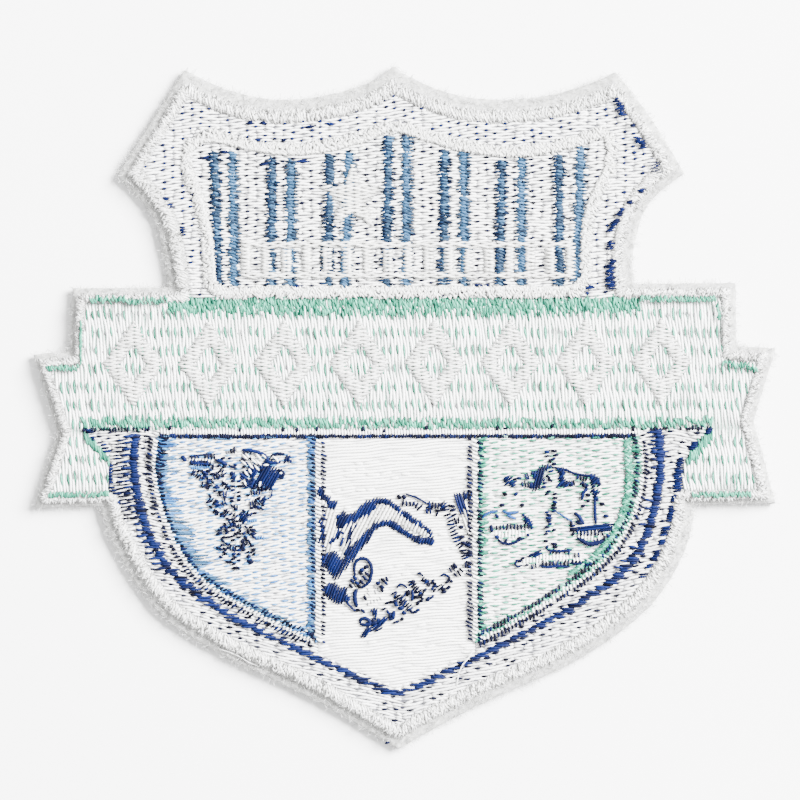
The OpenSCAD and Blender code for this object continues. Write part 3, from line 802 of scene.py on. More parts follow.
def rungs(a, b, seed, z_a=SATIN_Z, z_b=SATIN_Z, radius=0.17, rise=0.2, ragged=0.1, slant=0,
          bow=0.0, longest=99.0):
    """Stitches side by side between paired points. A bow bends them along the line."""
    dice = random.Random(seed)
    stitches = []
    count = len(a)
    for i in range(count - 1):
        p, q = a[i], b[min(max(i + slant, 0), count - 1)]
        reach = max(np.linalg.norm(q - p), TINY)
        way = (q - p) / reach
        start = p + way * (max(0.0, reach - longest) - dice.uniform(-ragged, ragged))
        end = q + way * dice.uniform(-ragged, ragged)
        points = [(*start, z_a), (*end, z_b)]
        if bow:
            ahead = (a[i + 1] + b[i + 1] - a[i] - b[i]) / 2
            ahead = ahead / max(np.linalg.norm(ahead), TINY) * bow * dice.uniform(0.2, 1.8)
            points = [(*(start + (end - start) * t + ahead * 4 * t * (1 - t)),
                       z_a + (z_b - z_a) * t) for t in (0, 0.25, 0.5, 0.75, 1)]
        stitches.append((points, radius * dice.uniform(0.8, 1.12),
                         rise * dice.uniform(0.8, 1.2)))
    return stitches


def crossed(a, b, seed, slant, **options):
    """Two layers of rungs that slant both ways, for the fuzzy look of a wrapped line."""
    return (rungs(a, b, seed, slant=slant, **options)
            + rungs(a, b, seed + 1, slant=-slant, **options))


print("satin lies at", round(SATIN_Z, 2), "mm")

# %% [markdown]
# ## Strokes along a path
#
# Other lines are planned from their middle, a path with a width at each point, which is
# mostly given in pixels of the photograph. Barbs lie across such a path, at a fixed angle if
# one is given, which makes the slanted, saw-toothed look of machine satin. Speckles are
# scattered over its width, for worn or mixed places, and a hatch fills a shape with parallel
# stitches. Each takes a seed, so the same plan gives the same stitches every time.


# %% Strokes
OVER_HOLE = 0.07  # mm that a stitch reaches past its line at each end


def barbs(path, angle=None, width=None, pitch=0.4, ragged=0.15, seed=1, radius=0.16, rise=0.15,
          z=SATIN_Z, chance=1.0, swing=4.0):
    """Stitches across a path, at an angle in degrees or square to it, as wide as it says."""
    dice = random.Random(seed)
    length = path_length(path)
    count = max(2, round(length / pitch))
    spots = resampled(path, (np.arange(count) + 0.5) * length / count)
    heading = np.gradient(spots[:, :2], axis=0)
    stitches = []
    for spot, ahead in zip(spots, heading):
        if dice.random() > chance:
            continue
        square = math.atan2(ahead[1], ahead[0]) + math.pi / 2
        turn = square if angle is None else math.radians(angle)
        turn += math.radians(dice.uniform(-swing, swing))
        way = np.array([math.cos(turn), math.sin(turn)])
        half = (spot[2] if width is None else width) / 2 + OVER_HOLE
        start = spot[:2] - way * half * (1 + dice.uniform(-ragged, ragged))
        end = spot[:2] + way * half * (1 + dice.uniform(-ragged, ragged))
        stitches.append((((*start, z), (*end, z)), radius * dice.uniform(0.85, 1.1),
                         rise * dice.uniform(0.8, 1.2)))
    return stitches


def speckled(path, angle, seed, length=(0.6, 1.3), pitch=0.2, radius=0.155, swing=22.0,
             z=SATIN_Z, crown=0.0):
    """Short stitches scattered over a path's width, at about this angle, or square to it.

    A crown lifts those in the middle, so that they lie on a ridge."""
    dice = random.Random(seed)
    count = round(path_length(path) / pitch)
    spots = resampled(path, (np.arange(count) + 0.5) * path_length(path) / count)
    made = []
    for spot, ahead in zip(spots, np.gradient(spots[:, :2], axis=0)):
        along = ahead / max(np.linalg.norm(ahead), TINY)
        square = math.atan2(along[0], -along[1]) if angle is None else math.radians(angle)
        turn = square + math.radians(dice.uniform(-swing, swing))
        long = dice.uniform(*length)
        off = (max(spot[2], long) - long) * dice.uniform(-0.5, 0.5)
        middle = spot[:2] + np.array([-along[1], along[0]]) * off
        up = z + dice.uniform(0.0, 0.14) + crown * (1 - (2 * off / spot[2]) ** 2)
        made.append((bar(middle, turn, long, up), radius * dice.uniform(0.85, 1.15), 0.12))
    return made


def drawn(paths, seed, angle=None, how=barbs, **options):
    """Sews paths given in pixels, each with a seed of its own."""
    made = []
    for number, path in enumerate(paths):
        made += how(on_patch(path), angle, seed=seed + number, **options)
    return made


def hatch(outline, angle, seed, pitch, rise=0.15, z=SATIN_Z, ragged=0.14, radius=0.18):
    """Parallel stitches at an angle in degrees, inside an outline given in pixels."""
    dice = random.Random(seed)
    c, s = math.cos(math.radians(angle)), math.sin(math.radians(angle))
    corners = on_patch(outline)[:, :2] @ np.array([[c, -s], [s, c]])
    edges = np.stack([corners, np.roll(corners, -1, axis=0)], axis=1)
    stitches = []
    for v, start, end, _ in runs(edges, lambda u: 0.0 * u, pitch):
        start -= 0.1 + dice.uniform(-ragged, ragged)
        end += 0.1 + dice.uniform(-ragged, ragged)
        if end - start < SHORTEST:
            continue
        spots = [(u * c - v * s, u * s + v * c, z) for u in (start, end)]
        stitches.append((spots, radius * dice.uniform(0.88, 1.1), rise * dice.uniform(0.8, 1.2)))
    return stitches


print("barbs, speckles and hatches are ready")

# %% [markdown]
# ## Small marks
#
# The smallest things are single stitches. Navy teeth follow from the white stitches that go
# down beside them. The dots of a figure, and threads that wander over the back, are too few
# and too irregular for a rule, so each one's place is read off the photograph.


# %% Small marks
DIVE_PX = 1.2  # how much of a short stitch lies below the surface at its ends
DOT_LIFT = 0.21  # mm over the satin
TOOTH_CHANCE = 0.95
TOOTH_RADIUS = 0.185  # mm
TOOTH_LIFT = 0.23  # mm over the satin


def laid(path, z):
    """The points of a path in pixels, laid at one height."""
    return [(float(x), float(y), z) for x, y, *_ in on_patch(path)]


def teeth(stitches, seed, length):
    """Short stitches where other stitches go down at their ends."""
    dice = random.Random(seed)
    made = []
    for points, _, _ in stitches:
        a, b = np.array(points[0]), np.array(points[-1])
        way = (b - a) / max(np.linalg.norm(b - a), TINY)
        for spot, out in ((a, -way), (b, way)):
            if dice.random() > TOOTH_CHANCE:
                continue
            half = out * length * dice.uniform(0.65, 1.3) / 2
            middle = spot + np.array([0, 0, TOOTH_LIFT])
            made.append(((tuple(middle - half), tuple(middle + half)),
                         TOOTH_RADIUS * dice.uniform(0.8, 1.1), 0.08))
    return made


def dotted(spots, seed, thick, angle=6.0, above=DOT_LIFT):
    """A short thick stitch at each place in pixels, with its length and perhaps its angle."""
    dice = random.Random(seed)
    made = []
    for x, y, long, *turned in spots:
        middle, = on_patch([(x, y, long + DIVE_PX)])
        turn = math.radians((turned[0] if turned else angle) + dice.uniform(-7, 7))
        made.append((bar(middle, turn, middle[2], SATIN_Z + above),
                     thick / 2 * dice.uniform(0.9, 1.1), 0.12))
    return made


def traced(paths, z):
    """Threads that follow paths given in pixels, as thick as their first width says."""
    return [(laid(path, z), on_patch(path)[0][2] * 0.72, 0.08) for path in paths]


print("teeth stand", TOOTH_LIFT, "mm over the satin")

# %% [markdown]
# ## White lines and their teeth
#
# White satin runs round the two side panels, down the dividers and round the striped panel.
# Where it goes down at its edges, the navy top thread comes up as a row of small teeth. They
# could be drawn as two dark lines, but a tooth for each stitch keeps the comb look of the
# photograph. The border of the striped panel stands higher and is more worn, so it gets
# speckles over its rungs.


# %% Inset lines and dividers
INNER_LINES = [[(163, 436, 9), (163, 444, 7), (162, 470, 6), (163, 500, 5)]]
BAND_STROKES = [(120, 438, 18), (121, 470, 17), (123, 500, 14), (127, 520, 12)]
TOP_LINE = [(160, 436, 4), (235, 436.5, 4), (400, 436, 3), (560, 436, 4), (636, 435, 5)]
INSET_PITCH = 0.54  # mm
BORDER_WIDTH = 2.1  # mm
combs = []
for node, tooth in (("inset_left", 0.85), ("inset_right", 0.85), ("divider_left", 0.8),
                    ("divider_right", 0.95)):
    satin = rungs(*line_sides(node, INSET_PITCH), seed=7, slant=1)
    sew(node + "_satin", satin, BOBBIN, (node,))
    combs += teeth(satin, seed=21, length=tooth)
combs += drawn(INNER_LINES, 31, pitch=0.44, ragged=0.45, radius=0.165, swing=20.0,
               z=SATIN_Z + 0.18, chance=0.9)
for seed in (34, 35):
    combs += drawn([BAND_STROKES], seed, 7, speckled, length=(1.1, 2.4), pitch=0.5, radius=0.11,
                   swing=5.0, z=SATIN_Z + 0.02)
sew_two("inset_teeth", INK, "inset_blue_teeth", NAVY, combs, share=0.25, seed=12, steps=4)
outer_side = min(line_sides("inset_left", INSET_PITCH), key=lambda side: side[0][0])
running = [(float(x), float(y), SATIN_Z + 0.1) for x, y in outer_side if y < -12]
sew("inset_running", [(running, 0.17, 0.02)], INK, steps=120)

# %% [markdown]
# ## Border of the striped panel
#
# One ring of rungs follows the wavy border. Short worn stitches lie over it at all angles,
# higher in the middle, because padded satin is round. The line over the panels is a row of
# loose navy barbs.

# %% Panel border
outer, inner = paired(*ring_sides("panel_border"), 0.4)
border = rungs(outer, inner, seed=8, radius=0.15, rise=0.34, ragged=0.2, longest=2.0)
middle_line = between(outer, inner)
print("panel border:", middle_line[:, 2].min().round(2), "to", middle_line[:, 2].max().round(2),
      "mm wide")
middle_line[:, 2] = BORDER_WIDTH
border += speckled(middle_line, None, seed=18, length=(0.5, 1.1), pitch=0.075, radius=0.13,
                   swing=55.0, crown=0.26)
sew("panel_border_satin", border, RAISED_WHITE, ("panel_border",), steps=4)
top_line = drawn([TOP_LINE], 5, pitch=0.3, ragged=0.35, swing=22.0, radius=0.155,
                 z=SATIN_Z + 0.12)
sew_two("panel_top_satin", INK, "panel_top_blue", NAVY, top_line, share=0.3, seed=13,
        stands_for=("panel_top_line",))

# %% [markdown]
# ## The navy line
#
# The shield's navy line is sewn in level rows. Where the line slants, the machine moves it
# sideways only every few rows, so that it climbs in steps and its ends make saw teeth. Plain
# satin across the line would look smoother than it is. Loose barbs lie beside it where it
# runs upright.


# %% Navy line
NAVY_TOP = [(656, 430, 15), (657, 440, 16), (659, 450, 14), (660, 458, 10)]
BLOCK = 1.4  # mm of line that shares one sideways place
WIDEST = 1.2  # mm, half the length of the longest row
STEEP = 0.9  # rise over length of line, above which it isn't narrowed at its seams
LEAST_CLIMB = 0.35  # the same, below which rows lie no further apart along the line
ROW_STEP = 0.33  # mm of climb from row to row
LINE_END = 0.1  # mm left free at both ends of the line
LOOK = 0.2  # mm looked back and ahead for the line's direction


def node_line(node):
    """The middle of a line-shaped node, with its width."""
    return between(*line_sides(node, 0.4))


def stepped_line(path, seed):
    """A line in level rows that climbs in steps, narrower at a seam and on the right half."""
    dice = random.Random(seed)
    made = []
    at = LINE_END
    while at < path_length(path) - LINE_END:
        before, here, after = resampled(path, [at - LOOK, at, at + LOOK])
        way = (after[:2] - before[:2]) / np.linalg.norm(after[:2] - before[:2])
        climb = max(abs(way[1]), LEAST_CLIMB)
        step = resampled(path, [round(at / BLOCK) * BLOCK])[0]
        middle = 0.7 * step[0] + 0.3 * here[0] + dice.uniform(-0.1, 0.1)
        seam = abs((at / BLOCK) % 1 - 0.5) * 2
        half = min(here[2] / 2 / climb ** 1.15, WIDEST)
        half *= 0.6 if climb < STEEP and seam < 0.3 else 0.95
        half *= 0.96 if here[0] < 0 else 0.9
        z = SATIN_Z + dice.uniform(0.02, 0.1)
        start = middle - half * dice.uniform(0.75, 1.3)
        end = middle + half * dice.uniform(0.75, 1.3)
        made.append((((start, here[1] - dice.uniform(-0.08, 0.08), z),
                      (end, here[1] - dice.uniform(-0.08, 0.08), z)),
                     0.2 * dice.uniform(0.85, 1.1), 0.2 * dice.uniform(0.7, 1.2)))
        at += ROW_STEP / climb
    return made


navy_path = node_line("navy_line")
navy = stepped_line(navy_path, 4)
beside = np.array([(x - w / 2 - 0.3, y, w) for x, y, w in navy_path if y > -22])
navy += barbs(beside[beside[:, 0] < 0], 6, 1.2, pitch=0.85, ragged=0.4, seed=5, radius=0.19,
              z=SATIN_Z + 0.12)
navy += barbs(beside[beside[:, 0] > 0], -6, 0.9, pitch=1.1, ragged=0.4, seed=6, radius=0.19,
              z=SATIN_Z + 0.12, chance=0.6)
navy += drawn([NAVY_TOP], 15, 5, pitch=0.55, ragged=0.4, radius=0.17, z=SATIN_Z + 0.12)
sew_two("navy_satin", LINE_NAVY, "navy_dark_satin", INK, navy, share=0.1, seed=14,
        stands_for=("navy_line",))

# %% [markdown]
# ## Coloured edges of the panels
#
# At both ends of its rows a panel's top thread turns round, and a band of colour shows there.
# Each row of the panel's own outline gets one stitch at its start and one at its end, with
# random lengths for the jagged inner side. A plain band of satin would have a straight one.


# %% Panel edges
MINT_SIDE = [(627, 439, 9), (629, 470, 9), (628, 497, 10), (621, 519, 10), (613, 535, 9),
             (603, 548, 8), (588, 561, 6), (570, 574, 5)]
SET_BACK = 0.35  # mm that row ends stay off a divider
OVER_EDGE = 0.1  # mm that they reach past the outline elsewhere


def sew_mint(name, stitches, share, stands_for=()):
    """Mint stitches, of which a share is in a darker copy of the mint, as painted shade between the
    stitches.
    """
    sew_two(name, MINT, name + "_deep", SHADED_MINT, stitches, share, seed=8,
            stands_for=stands_for)


def row_ends(node, slope, pitch, start_length, end_length, seed, indent, radius=0.17, swing=0.25):
    """A stitch at both ends of each row of a node; the divider's side is set back a little."""
    dice = random.Random(seed)
    made = []
    for v, start, end, _ in rows(node, lambda x: slope * x, pitch):
        for at, way, (short, long) in ((start, 1, start_length), (end, -1, end_length)):
            reach = at + way * min(dice.uniform(short, long), end - start)
            z = SATIN_Z + dice.uniform(0.06, 0.16)
            tip = dice.uniform(-swing, swing)
            at += SET_BACK * way if way == indent else -OVER_EDGE * way
            made.append((((at, v + slope * at, z), (reach, v + tip + slope * reach, z)),
                         radius * dice.uniform(0.85, 1.1), 0.12))
    return made


blue = row_ends("panel_left", slope=-0.05, pitch=0.33, start_length=(1.4, 3.6),
                end_length=(1.3, 1.8), seed=5, indent=-1, radius=0.155)
sew_two("panel_left_edges", LIGHT_BLUE, "panel_left_edges_deep", MID_BLUE, blue, share=0.58,
        seed=8)
mint = row_ends("panel_right", slope=0.05, pitch=0.31, start_length=(0.9, 1.9),
                end_length=(0.7, 1.7), seed=6, indent=1, swing=0.5)
for lean, seed in ((26, 61), (-24, 62)):
    mint += drawn([MINT_SIDE], seed, lean, speckled, length=(0.5, 1.1), pitch=0.14,
                  radius=0.135, swing=14.0, z=SATIN_Z + 0.1)
# a share of the panel's mint edge in the lighter copy: painted highlight
highlit_stitches, mint = dealt(mint, share=0.12, seed=16)
sew_mint("panel_right_edges", mint, share=0.48)
sew("panel_right_pale_edges", highlit_stitches, HIGHLIT_MINT)

# %% [markdown]
# ## Edges of the ribbon
#
# Mint satin lies along the ribbon's top and foot, and thin worn lines of it run over the
# stitched edge at the ribbon's ends. A white hem covers its lower side, with a few navy
# stitches on the seam, and dark strokes of painted shade along the hem near the ribbon's ends.

# %% Ribbon edges
TOP_EDGE = [(168, 305.5, 18), (300, 306.5, 20), (500, 306.5, 20), (640, 305, 17)]
BOTTOM_EDGE = [(81, 422, 15), (200, 422.5, 15), (400, 423.5, 15), (560, 424, 15), (713, 422, 15)]
BOTTOM_HEM = [(160, 432, 7), (400, 432.5, 7), (640, 432, 7)]
HEM_SHADE = [[(82, 429.5, 4), (150, 429, 4)], [(650, 429, 3), (712, 428, 4)]]
HEM_SPOTS = [(170, 428, 4, 80), (283, 430, 4, 80), (297, 430, 4, 80), (317, 429, 4, 80),
             (363, 429, 4, 80), (384, 431, 3, 80), (426, 428, 4, 80), (497, 428, 4, 80),
             (552, 426, 4, 60), (633, 429, 5, 80), (240, 430, 3, 80)]
THIN_EDGES = [[(90, 300, 11), (168, 300, 11)], [(640, 299, 9), (716, 299, 8)],
              [(47, 368, 9), (79, 368, 10)], [(722, 363, 9), (758, 368, 9)],
              [(48, 495, 8), (109, 494, 8)], [(692, 495, 8), (751, 494, 8)]]
END_EDGES = [[(81, 322, 4), (81, 364, 4)], [(717, 303, 6), (719, 320, 4)],
             [(736, 476, 3), (737, 490, 4)]]
OVER_RIDGE = 2.2  # mm, just over the stitched edge
mint = drawn([TOP_EDGE], 2, 96, pitch=0.36, ragged=0.35, rise=0.05)
mint += drawn([TOP_EDGE], 22, 100, speckled, pitch=0.13)
sew_mint("ribbon_top_satin", mint, share=0.14, stands_for=("ribbon_top_edge",))
mint = drawn([BOTTOM_EDGE], 3, 98, pitch=0.8, ragged=0.4, rise=0.05)
mint += drawn([BOTTOM_EDGE], 23, 104, speckled, pitch=0.32)
sew_mint("ribbon_bottom_satin", mint, share=0.1, stands_for=("ribbon_bottom_edge",))
worn = {"length": (0.5, 1.0), "radius": 0.14, "z": OVER_RIDGE}
mint = drawn(THIN_EDGES, 0, 98, speckled, pitch=0.26, swing=30.0, **worn)
mint += drawn(END_EDGES, 0, 80, speckled, pitch=0.4, swing=20.0, **worn)
sew_mint("ribbon_thin_edges", mint, share=0.16)
hem = drawn([BOTTOM_HEM], 9, 93, pitch=0.4, ragged=0.25, radius=0.165, z=SATIN_Z + 0.06)
sew("ribbon_hem", hem, BOBBIN, steps=4)
# The HEM_SHADE strokes are painted shade along the hem, sewn in the dark navy thread; the spots are
# navy stitches.
seam = drawn(HEM_SHADE, 10, 85, pitch=0.4, ragged=0.5, radius=0.14, chance=0.7, z=SATIN_Z + 0.12)
seam += dotted(HEM_SPOTS, 11, thick=0.42)
sew("ribbon_seam", seam, INK, steps=4)

# %% [markdown]
# ## Folds of the ribbon
#
# Where the ribbon turns back behind the shield, a mint stroke and a broken navy line follow
# the fold down. The line comes and goes, so it is drawn as short strokes and not as one path.

# %% Folds
MINT_FOLDS = [[(84, 436, 9), (94, 446, 12), (106, 457, 10), (109, 462, 7)],
              [(713, 435, 10), (704, 443, 13), (693, 455, 12), (687, 463, 8)]]
NAVY_FOLDS = {
    "fold_left": [[(86, 429, 9), (92, 433, 8)], [(93, 436, 5), (93, 441, 4)],
                  [(103, 443, 7), (107, 453, 7)], [(111, 464, 3), (111, 484, 3)],
                  [(111, 486, 6), (117, 495, 9)], [(117, 502, 5), (117, 504, 5)]],
    "fold_right": [[(710, 428, 7), (708, 434, 5)], [(697, 441, 9), (691, 450, 9)],
                   [(681, 457, 5), (679, 464, 7), (678, 474, 8), (678, 492, 9)],
                   [(675, 495, 8), (674, 502, 7)], [(672, 505, 7), (670, 522, 6)],
                   [(667, 526, 8), (664, 536, 7)], [(663, 539, 7), (661, 545, 7)],
                   [(658, 550, 8), (654, 561, 9)], [(650, 564, 7), (648, 568, 7)],
                   [(643, 573, 9), (642, 578, 7)]]}
FOLD_EDGE = [(110, 463, 1.6), (110, 476, 1.6), (110, 489, 1.6)]
FOLD_PITCH = {"fold_left": 0.42, "fold_right": 0.34}
mint = drawn(MINT_FOLDS, 30, 100, pitch=0.27, ragged=0.35, swing=14.0, z=SATIN_Z + 0.04)
sew_mint("fold_mint", mint, share=0.25)
for node, strokes in NAVY_FOLDS.items():
    navy = drawn(strokes, 0, 4, pitch=FOLD_PITCH[node], ragged=0.3, radius=0.17, z=SATIN_Z + 0.08)
    if node == "fold_left":
        navy += traced([FOLD_EDGE], SATIN_Z + 0.1)
    sew(node + "_satin", navy, NAVY, (node,))

# %% [markdown]
# ## Stripes
#
# Seven pairs of stripes stand in the crest, one of each pair in a darker blue. A stripe is
# two layers of slanted satin in two tones, and loose barbs stick out of its sides, more of
# them on the side away from its neighbour.

# %% Stripes
for tone, share in (("dark", 0.7), ("mid", 0.1)):
    edge_barbs = []
    for i in range(1, 8):
        node = f"stripe_{tone}_{i}"
        path = node_line(node)
        core = barbs(path, -30, pitch=0.26, ragged=0.25, seed=i, rise=0.1, swing=12.0)
        core += barbs(path, -8, pitch=0.42, ragged=0.3, seed=i + 20, radius=0.15, rise=0.2,
                      swing=8.0)
        sew_two(node + "_satin", MID_BLUE, node + "_deep", DARK_BLUE, core, share, seed=i,
                stands_for=(node,))
        for side in (-1, 1):
            edge = path.copy()
            edge[:, 0] += side * path[:, 2] / 2
            edge_barbs += barbs(edge, -8 * side, 0.75, pitch=0.43, ragged=0.5, seed=i + side,
                                radius=0.14, z=SATIN_Z + 0.14, swing=10.0,
                                chance=0.85 if (side < 0) == (tone == "dark") else 0.4)
    sew(f"stripe_{tone}_barbs", edge_barbs, SLATE if tone == "dark" else DARK_BLUE, steps=4)

# %% [markdown]
# ## Figures
#
# The three figures are drawn the way a digitizer draws them. Solid shapes are outlines in
# pixels with the angle of their stitches. Curves are single threads, with their width. Lines
# and ticks are paths with a width that get stitches across, and dots are single stitches.
# White strokes lie under them. Tracing the photograph by program would give smoother
# outlines but no stitches, so every stroke is placed one by one.


# %% Figure helpers
def shaded(shapes, seed, **options):
    """Stitches inside shapes, each an angle and an outline in pixels."""
    made = []
    for number, (angle, outline) in enumerate(shapes):
        made += hatch(outline, angle, seed + number, **options)
    return made


def sew_figure(node, shapes, curves, lines, ticks, dots, spots, seed, bold=1.0):
    """Sews a figure: solid shapes, curved threads, drawn lines, rows of ticks, dots and bigger
    spots. The fine strokes are as thick as bold says."""
    sew(node + "_solid", shaded(shapes, seed, z=SATIN_Z + 0.14, pitch=0.35), NAVY, (node,))
    sew(node + "_curves", traced(curves, SATIN_Z + 0.2), NAVY, steps=20, sides=6)
    lines, ticks = ([[(x, y, width + DIVE_PX) for x, y, width in path] for path in group]
                    for group in (lines, ticks))
    fine = drawn(lines, seed + 30, pitch=0.34, swing=14.0, ragged=0.2, z=SATIN_Z + 0.14,
                 radius=0.155 * bold)
    fine += drawn(ticks, seed + 60, pitch=0.46, ragged=0.25, swing=12.0, z=SATIN_Z + 0.16,
                  radius=0.165 * bold, chance=0.96)
    fine += dotted(dots, seed + 90, thick=0.43 * bold)
    fine += dotted(spots, seed + 95, thick=0.56 * bold)
    sew_two(node + "_ticks", INK, node + "_blue_ticks", NAVY, fine, share=0.35, seed=seed + 5,
            steps=5)


print("the widths of lines and ticks grow by", DIVE_PX, "pixels")

# %% [markdown]
# ## Clasped hands
#
# Two hands clasp in the middle panel, with stitches in solid navy where the left one comes
# in and a broken contour on the right. Ticks and dots stand for the fingers, because a
# needle can't draw anything finer at this size.

# %% Handshake
HAND_WHITE = [(62, [(337, 528), (376, 502), (392, 502), (432, 532), (432, 540), (392, 522),
                    (370, 528), (340, 560)]),
              (74, [(322, 500), (336, 506), (338, 530), (330, 556), (322, 556)]),
              (110, [(464, 496), (470, 510), (470, 540), (462, 520)])]
HAND_SHAPES = [
    (62, [(335, 526), (337, 517), (342, 511), (346, 513), (350, 514), (355, 512), (361, 505),
          (366, 501), (371, 499), (376, 497), (383, 498), (390, 500), (396, 505), (401, 509),
          (408, 513), (415, 518), (422, 523), (428, 528), (432, 532), (434, 540), (433, 546),
          (430, 545), (430, 536), (425, 531), (418, 527), (411, 523), (404, 518), (399, 515),
          (394, 509), (388, 505), (381, 503), (376, 505), (375, 513), (372, 510), (367, 518),
          (362, 518), (358, 522), (356, 527), (351, 524), (348, 530), (344, 530), (338, 530)]),
    (64, [(321, 560), (324, 555), (331, 551), (337, 551), (339, 557), (343, 560), (345, 552),
          (350, 545), (354, 541), (359, 539), (361, 534), (367, 530), (372, 526), (375, 520),
          (381, 519), (388, 520), (394, 522), (400, 526), (406, 530), (412, 534), (419, 536),
          (426, 538), (433, 537), (433, 545), (428, 544), (420, 544), (413, 541), (407, 537),
          (400, 533), (394, 529), (387, 526), (380, 527), (376, 530), (371, 539), (366, 545),
          (363, 550), (358, 552), (355, 559), (352, 562), (348, 567), (344, 572), (339, 579),
          (334, 580), (331, 575), (327, 569), (322, 565)]),
    (66, [(341, 527), (337, 530), (328, 545), (331, 546), (336, 541), (342, 531)]),
    (74, [(352, 524), (349, 526), (346, 545), (344, 558), (348, 558), (350, 545), (354, 527)]),
    (70, [(339, 546), (342, 546), (344, 534), (342, 533)]),
    (66, [(317, 492), (320, 488), (323, 489), (327, 497), (331, 497), (332, 501), (338, 501),
          (336, 508), (332, 510), (328, 507), (326, 500), (320, 500)]),
    (66, [(319, 520), (323, 520), (325, 530), (326, 536), (321, 543), (318, 543), (321, 533)]),
    (108, [(454, 493), (462, 494), (466, 509), (461, 516), (457, 505)]),
    (70, [(324, 588), (329, 583), (335, 583), (342, 587), (348, 588), (346, 593), (350, 599),
          (349, 604), (345, 602), (338, 604), (332, 601), (327, 596)]),
    (80, [(371, 611), (374, 609), (379, 611), (378, 615), (378, 620), (375, 620), (375, 616),
          (372, 614)]),
    (50, [(381, 618), (386, 616), (389, 618), (386, 623), (381, 625), (376, 625), (377, 621)]),
    (30, [(371, 626), (376, 624), (383, 625), (381, 630), (376, 632), (371, 631)]),
    (55, [(361, 637), (364, 631), (369, 626), (373, 628), (369, 634), (364, 638)])]
HAND_CURVES = [
    [(355, 577, 2.8), (354, 568, 3), (356, 561, 3), (361, 558, 3), (367, 559, 3), (371, 564, 3),
     (372, 572, 3), (370, 581, 3), (364, 587, 3), (358, 588, 3)],
    [(357, 589, 3.6), (355, 594, 4), (355, 600, 4), (357, 607, 4)],
    [(345, 601, 2), (350, 606, 2), (354, 610, 2), (360, 610, 2)],
    [(360, 623, 3), (361, 619, 3), (365, 618, 3), (369, 620, 3), (370, 624, 3), (365, 625, 3),
     (360, 624, 3)],
    [(406, 494, 1.8), (416, 497, 2), (424, 502, 2), (430, 505, 2)],
    [(400, 602, 1.4), (405, 594, 1), (407, 590, 1)], [(464, 499, 1.2), (470, 530, 1)],
    [(412, 590, 2.6), (413, 595, 3), (412, 601, 2)], [(417, 574, 2), (420, 573, 2), (423, 576, 2)],
    [(397, 588, 2), (400, 584, 2.4), (404, 585, 2), (407, 588, 2)],
    [(440, 576, 2), (444, 574, 2.4), (450, 577, 2)], [(371, 624, 3), (377, 622, 3)],
    [(394, 611, 3.4), (393, 619, 4)]]
HAND_LINES = [
    [(393, 592, 4), (397, 596, 5), (401, 600, 6), (405, 604, 6), (409, 607, 5), (411, 610, 4)],
    [(441, 503, 6), (445, 506, 8), (446, 511, 6)],
    [(411, 580, 4), (412, 584, 6), (415, 588, 5), (419, 592, 5), (423, 596, 4)],
    [(422, 578, 4), (427, 582, 4), (431, 585, 3)], [(438, 585, 5), (442, 589, 6)],
    [(463, 549, 5), (464, 555, 6), (466, 559, 6)],
    [(454, 521, 5), (460, 520, 6)], [(463, 495, 6), (472, 496, 6)]]
HAND_TICKS = [
    [(401, 503, 4), (415, 504, 4), (421, 509, 6)], [(428, 505, 4), (434, 505, 5), (440, 506, 5)],
    [(425, 512, 3), (430, 511, 3), (439, 514, 4)], [(429, 506, 4), (430, 511, 4)],
    [(438, 506, 5), (439, 512, 5)],
    [(447, 513, 5), (451, 521, 5), (452, 526, 7), (454, 531, 6), (456, 537, 6), (458, 543, 6),
     (462, 548, 5)],
    [(464, 565, 3), (470, 565, 4)], [(463, 569, 4), (459, 573, 4), (454, 576, 3)],
    [(449, 571, 4), (457, 565, 4)], [(431, 588, 2), (436, 591, 2)]]
HAND_DOTS = [
    (383, 580, 4, -45), (387, 579, 4, -60), (386, 583, 4, -45), (382, 587, 4, -20),
    (382, 590, 3, -60), (365, 598, 4, -60), (432, 597, 4, 45), (396, 622, 5, 8),
    (452, 506, 5, -15), (453, 510, 5, 10), (454, 515, 5, 30), (464, 543, 5, -10),
    (468, 545, 5), (470, 553, 5), (351, 586, 4, -45), (352, 581, 4, -40), (355, 578, 4, -40),
    (359, 586, 5, -40), (362, 582, 5, -40), (365, 578, 6, -40), (367, 574, 5, -40),
    (361, 573, 3, -40), (357, 583, 3, -40), (434, 583, 4, -20), (435, 586, 3), (433, 581, 3, 60),
    (449, 579, 4, 70), (447, 582, 3, 60), (451, 581, 3, -40), (448, 588, 3, 10), (444, 592, 4, 10),
    (387, 603, 3, 20), (391, 602, 5, 8), (395, 601, 4), (411, 611, 4, -50), (415, 612, 4),
    (418, 610, 3), (421, 596, 4, -60), (422, 600, 4, 60), (384, 609, 4, 20), (388, 612, 4, -60),
    (390, 615, 4, 70), (373, 620, 3, 80), (363, 611, 4, -40), (358, 610, 3), (425, 590, 3, 45)]
HAND_SPOTS = [(399, 497, 3, -60), (404, 497, 3, -60), (366, 567, 3), (362, 570, 3.5),
              (378, 583, 3), (428, 599, 4, 45), (449, 587, 2), (455, 566, 4, -50),
              (461, 527, 3), (462, 537, 4), (402, 619, 2), (408, 593, 5, 75), (416, 597, 5, 10),
              (418, 603, 4, 60), (396, 604, 4, -60), (401, 608, 5), (404, 613, 3, -20),
              (391, 619, 3), (413, 582, 3, 70), (443, 589, 3)]
HAND_GREY = [[(378, 582, 4), (388, 578, 5)], [(366, 590, 4), (384, 584, 4)],
             [(364, 597, 4), (380, 590, 5)], [(366, 604, 4), (382, 598, 4)],
             [(350, 588, 11), (362, 574, 11)]]
sew("handshake_white", shaded(HAND_WHITE, 50, pitch=0.47, rise=0.22), EDGE_WHITE)
sew_figure("handshake", HAND_SHAPES, HAND_CURVES, HAND_LINES, HAND_TICKS, HAND_DOTS,
           HAND_SPOTS, seed=60)
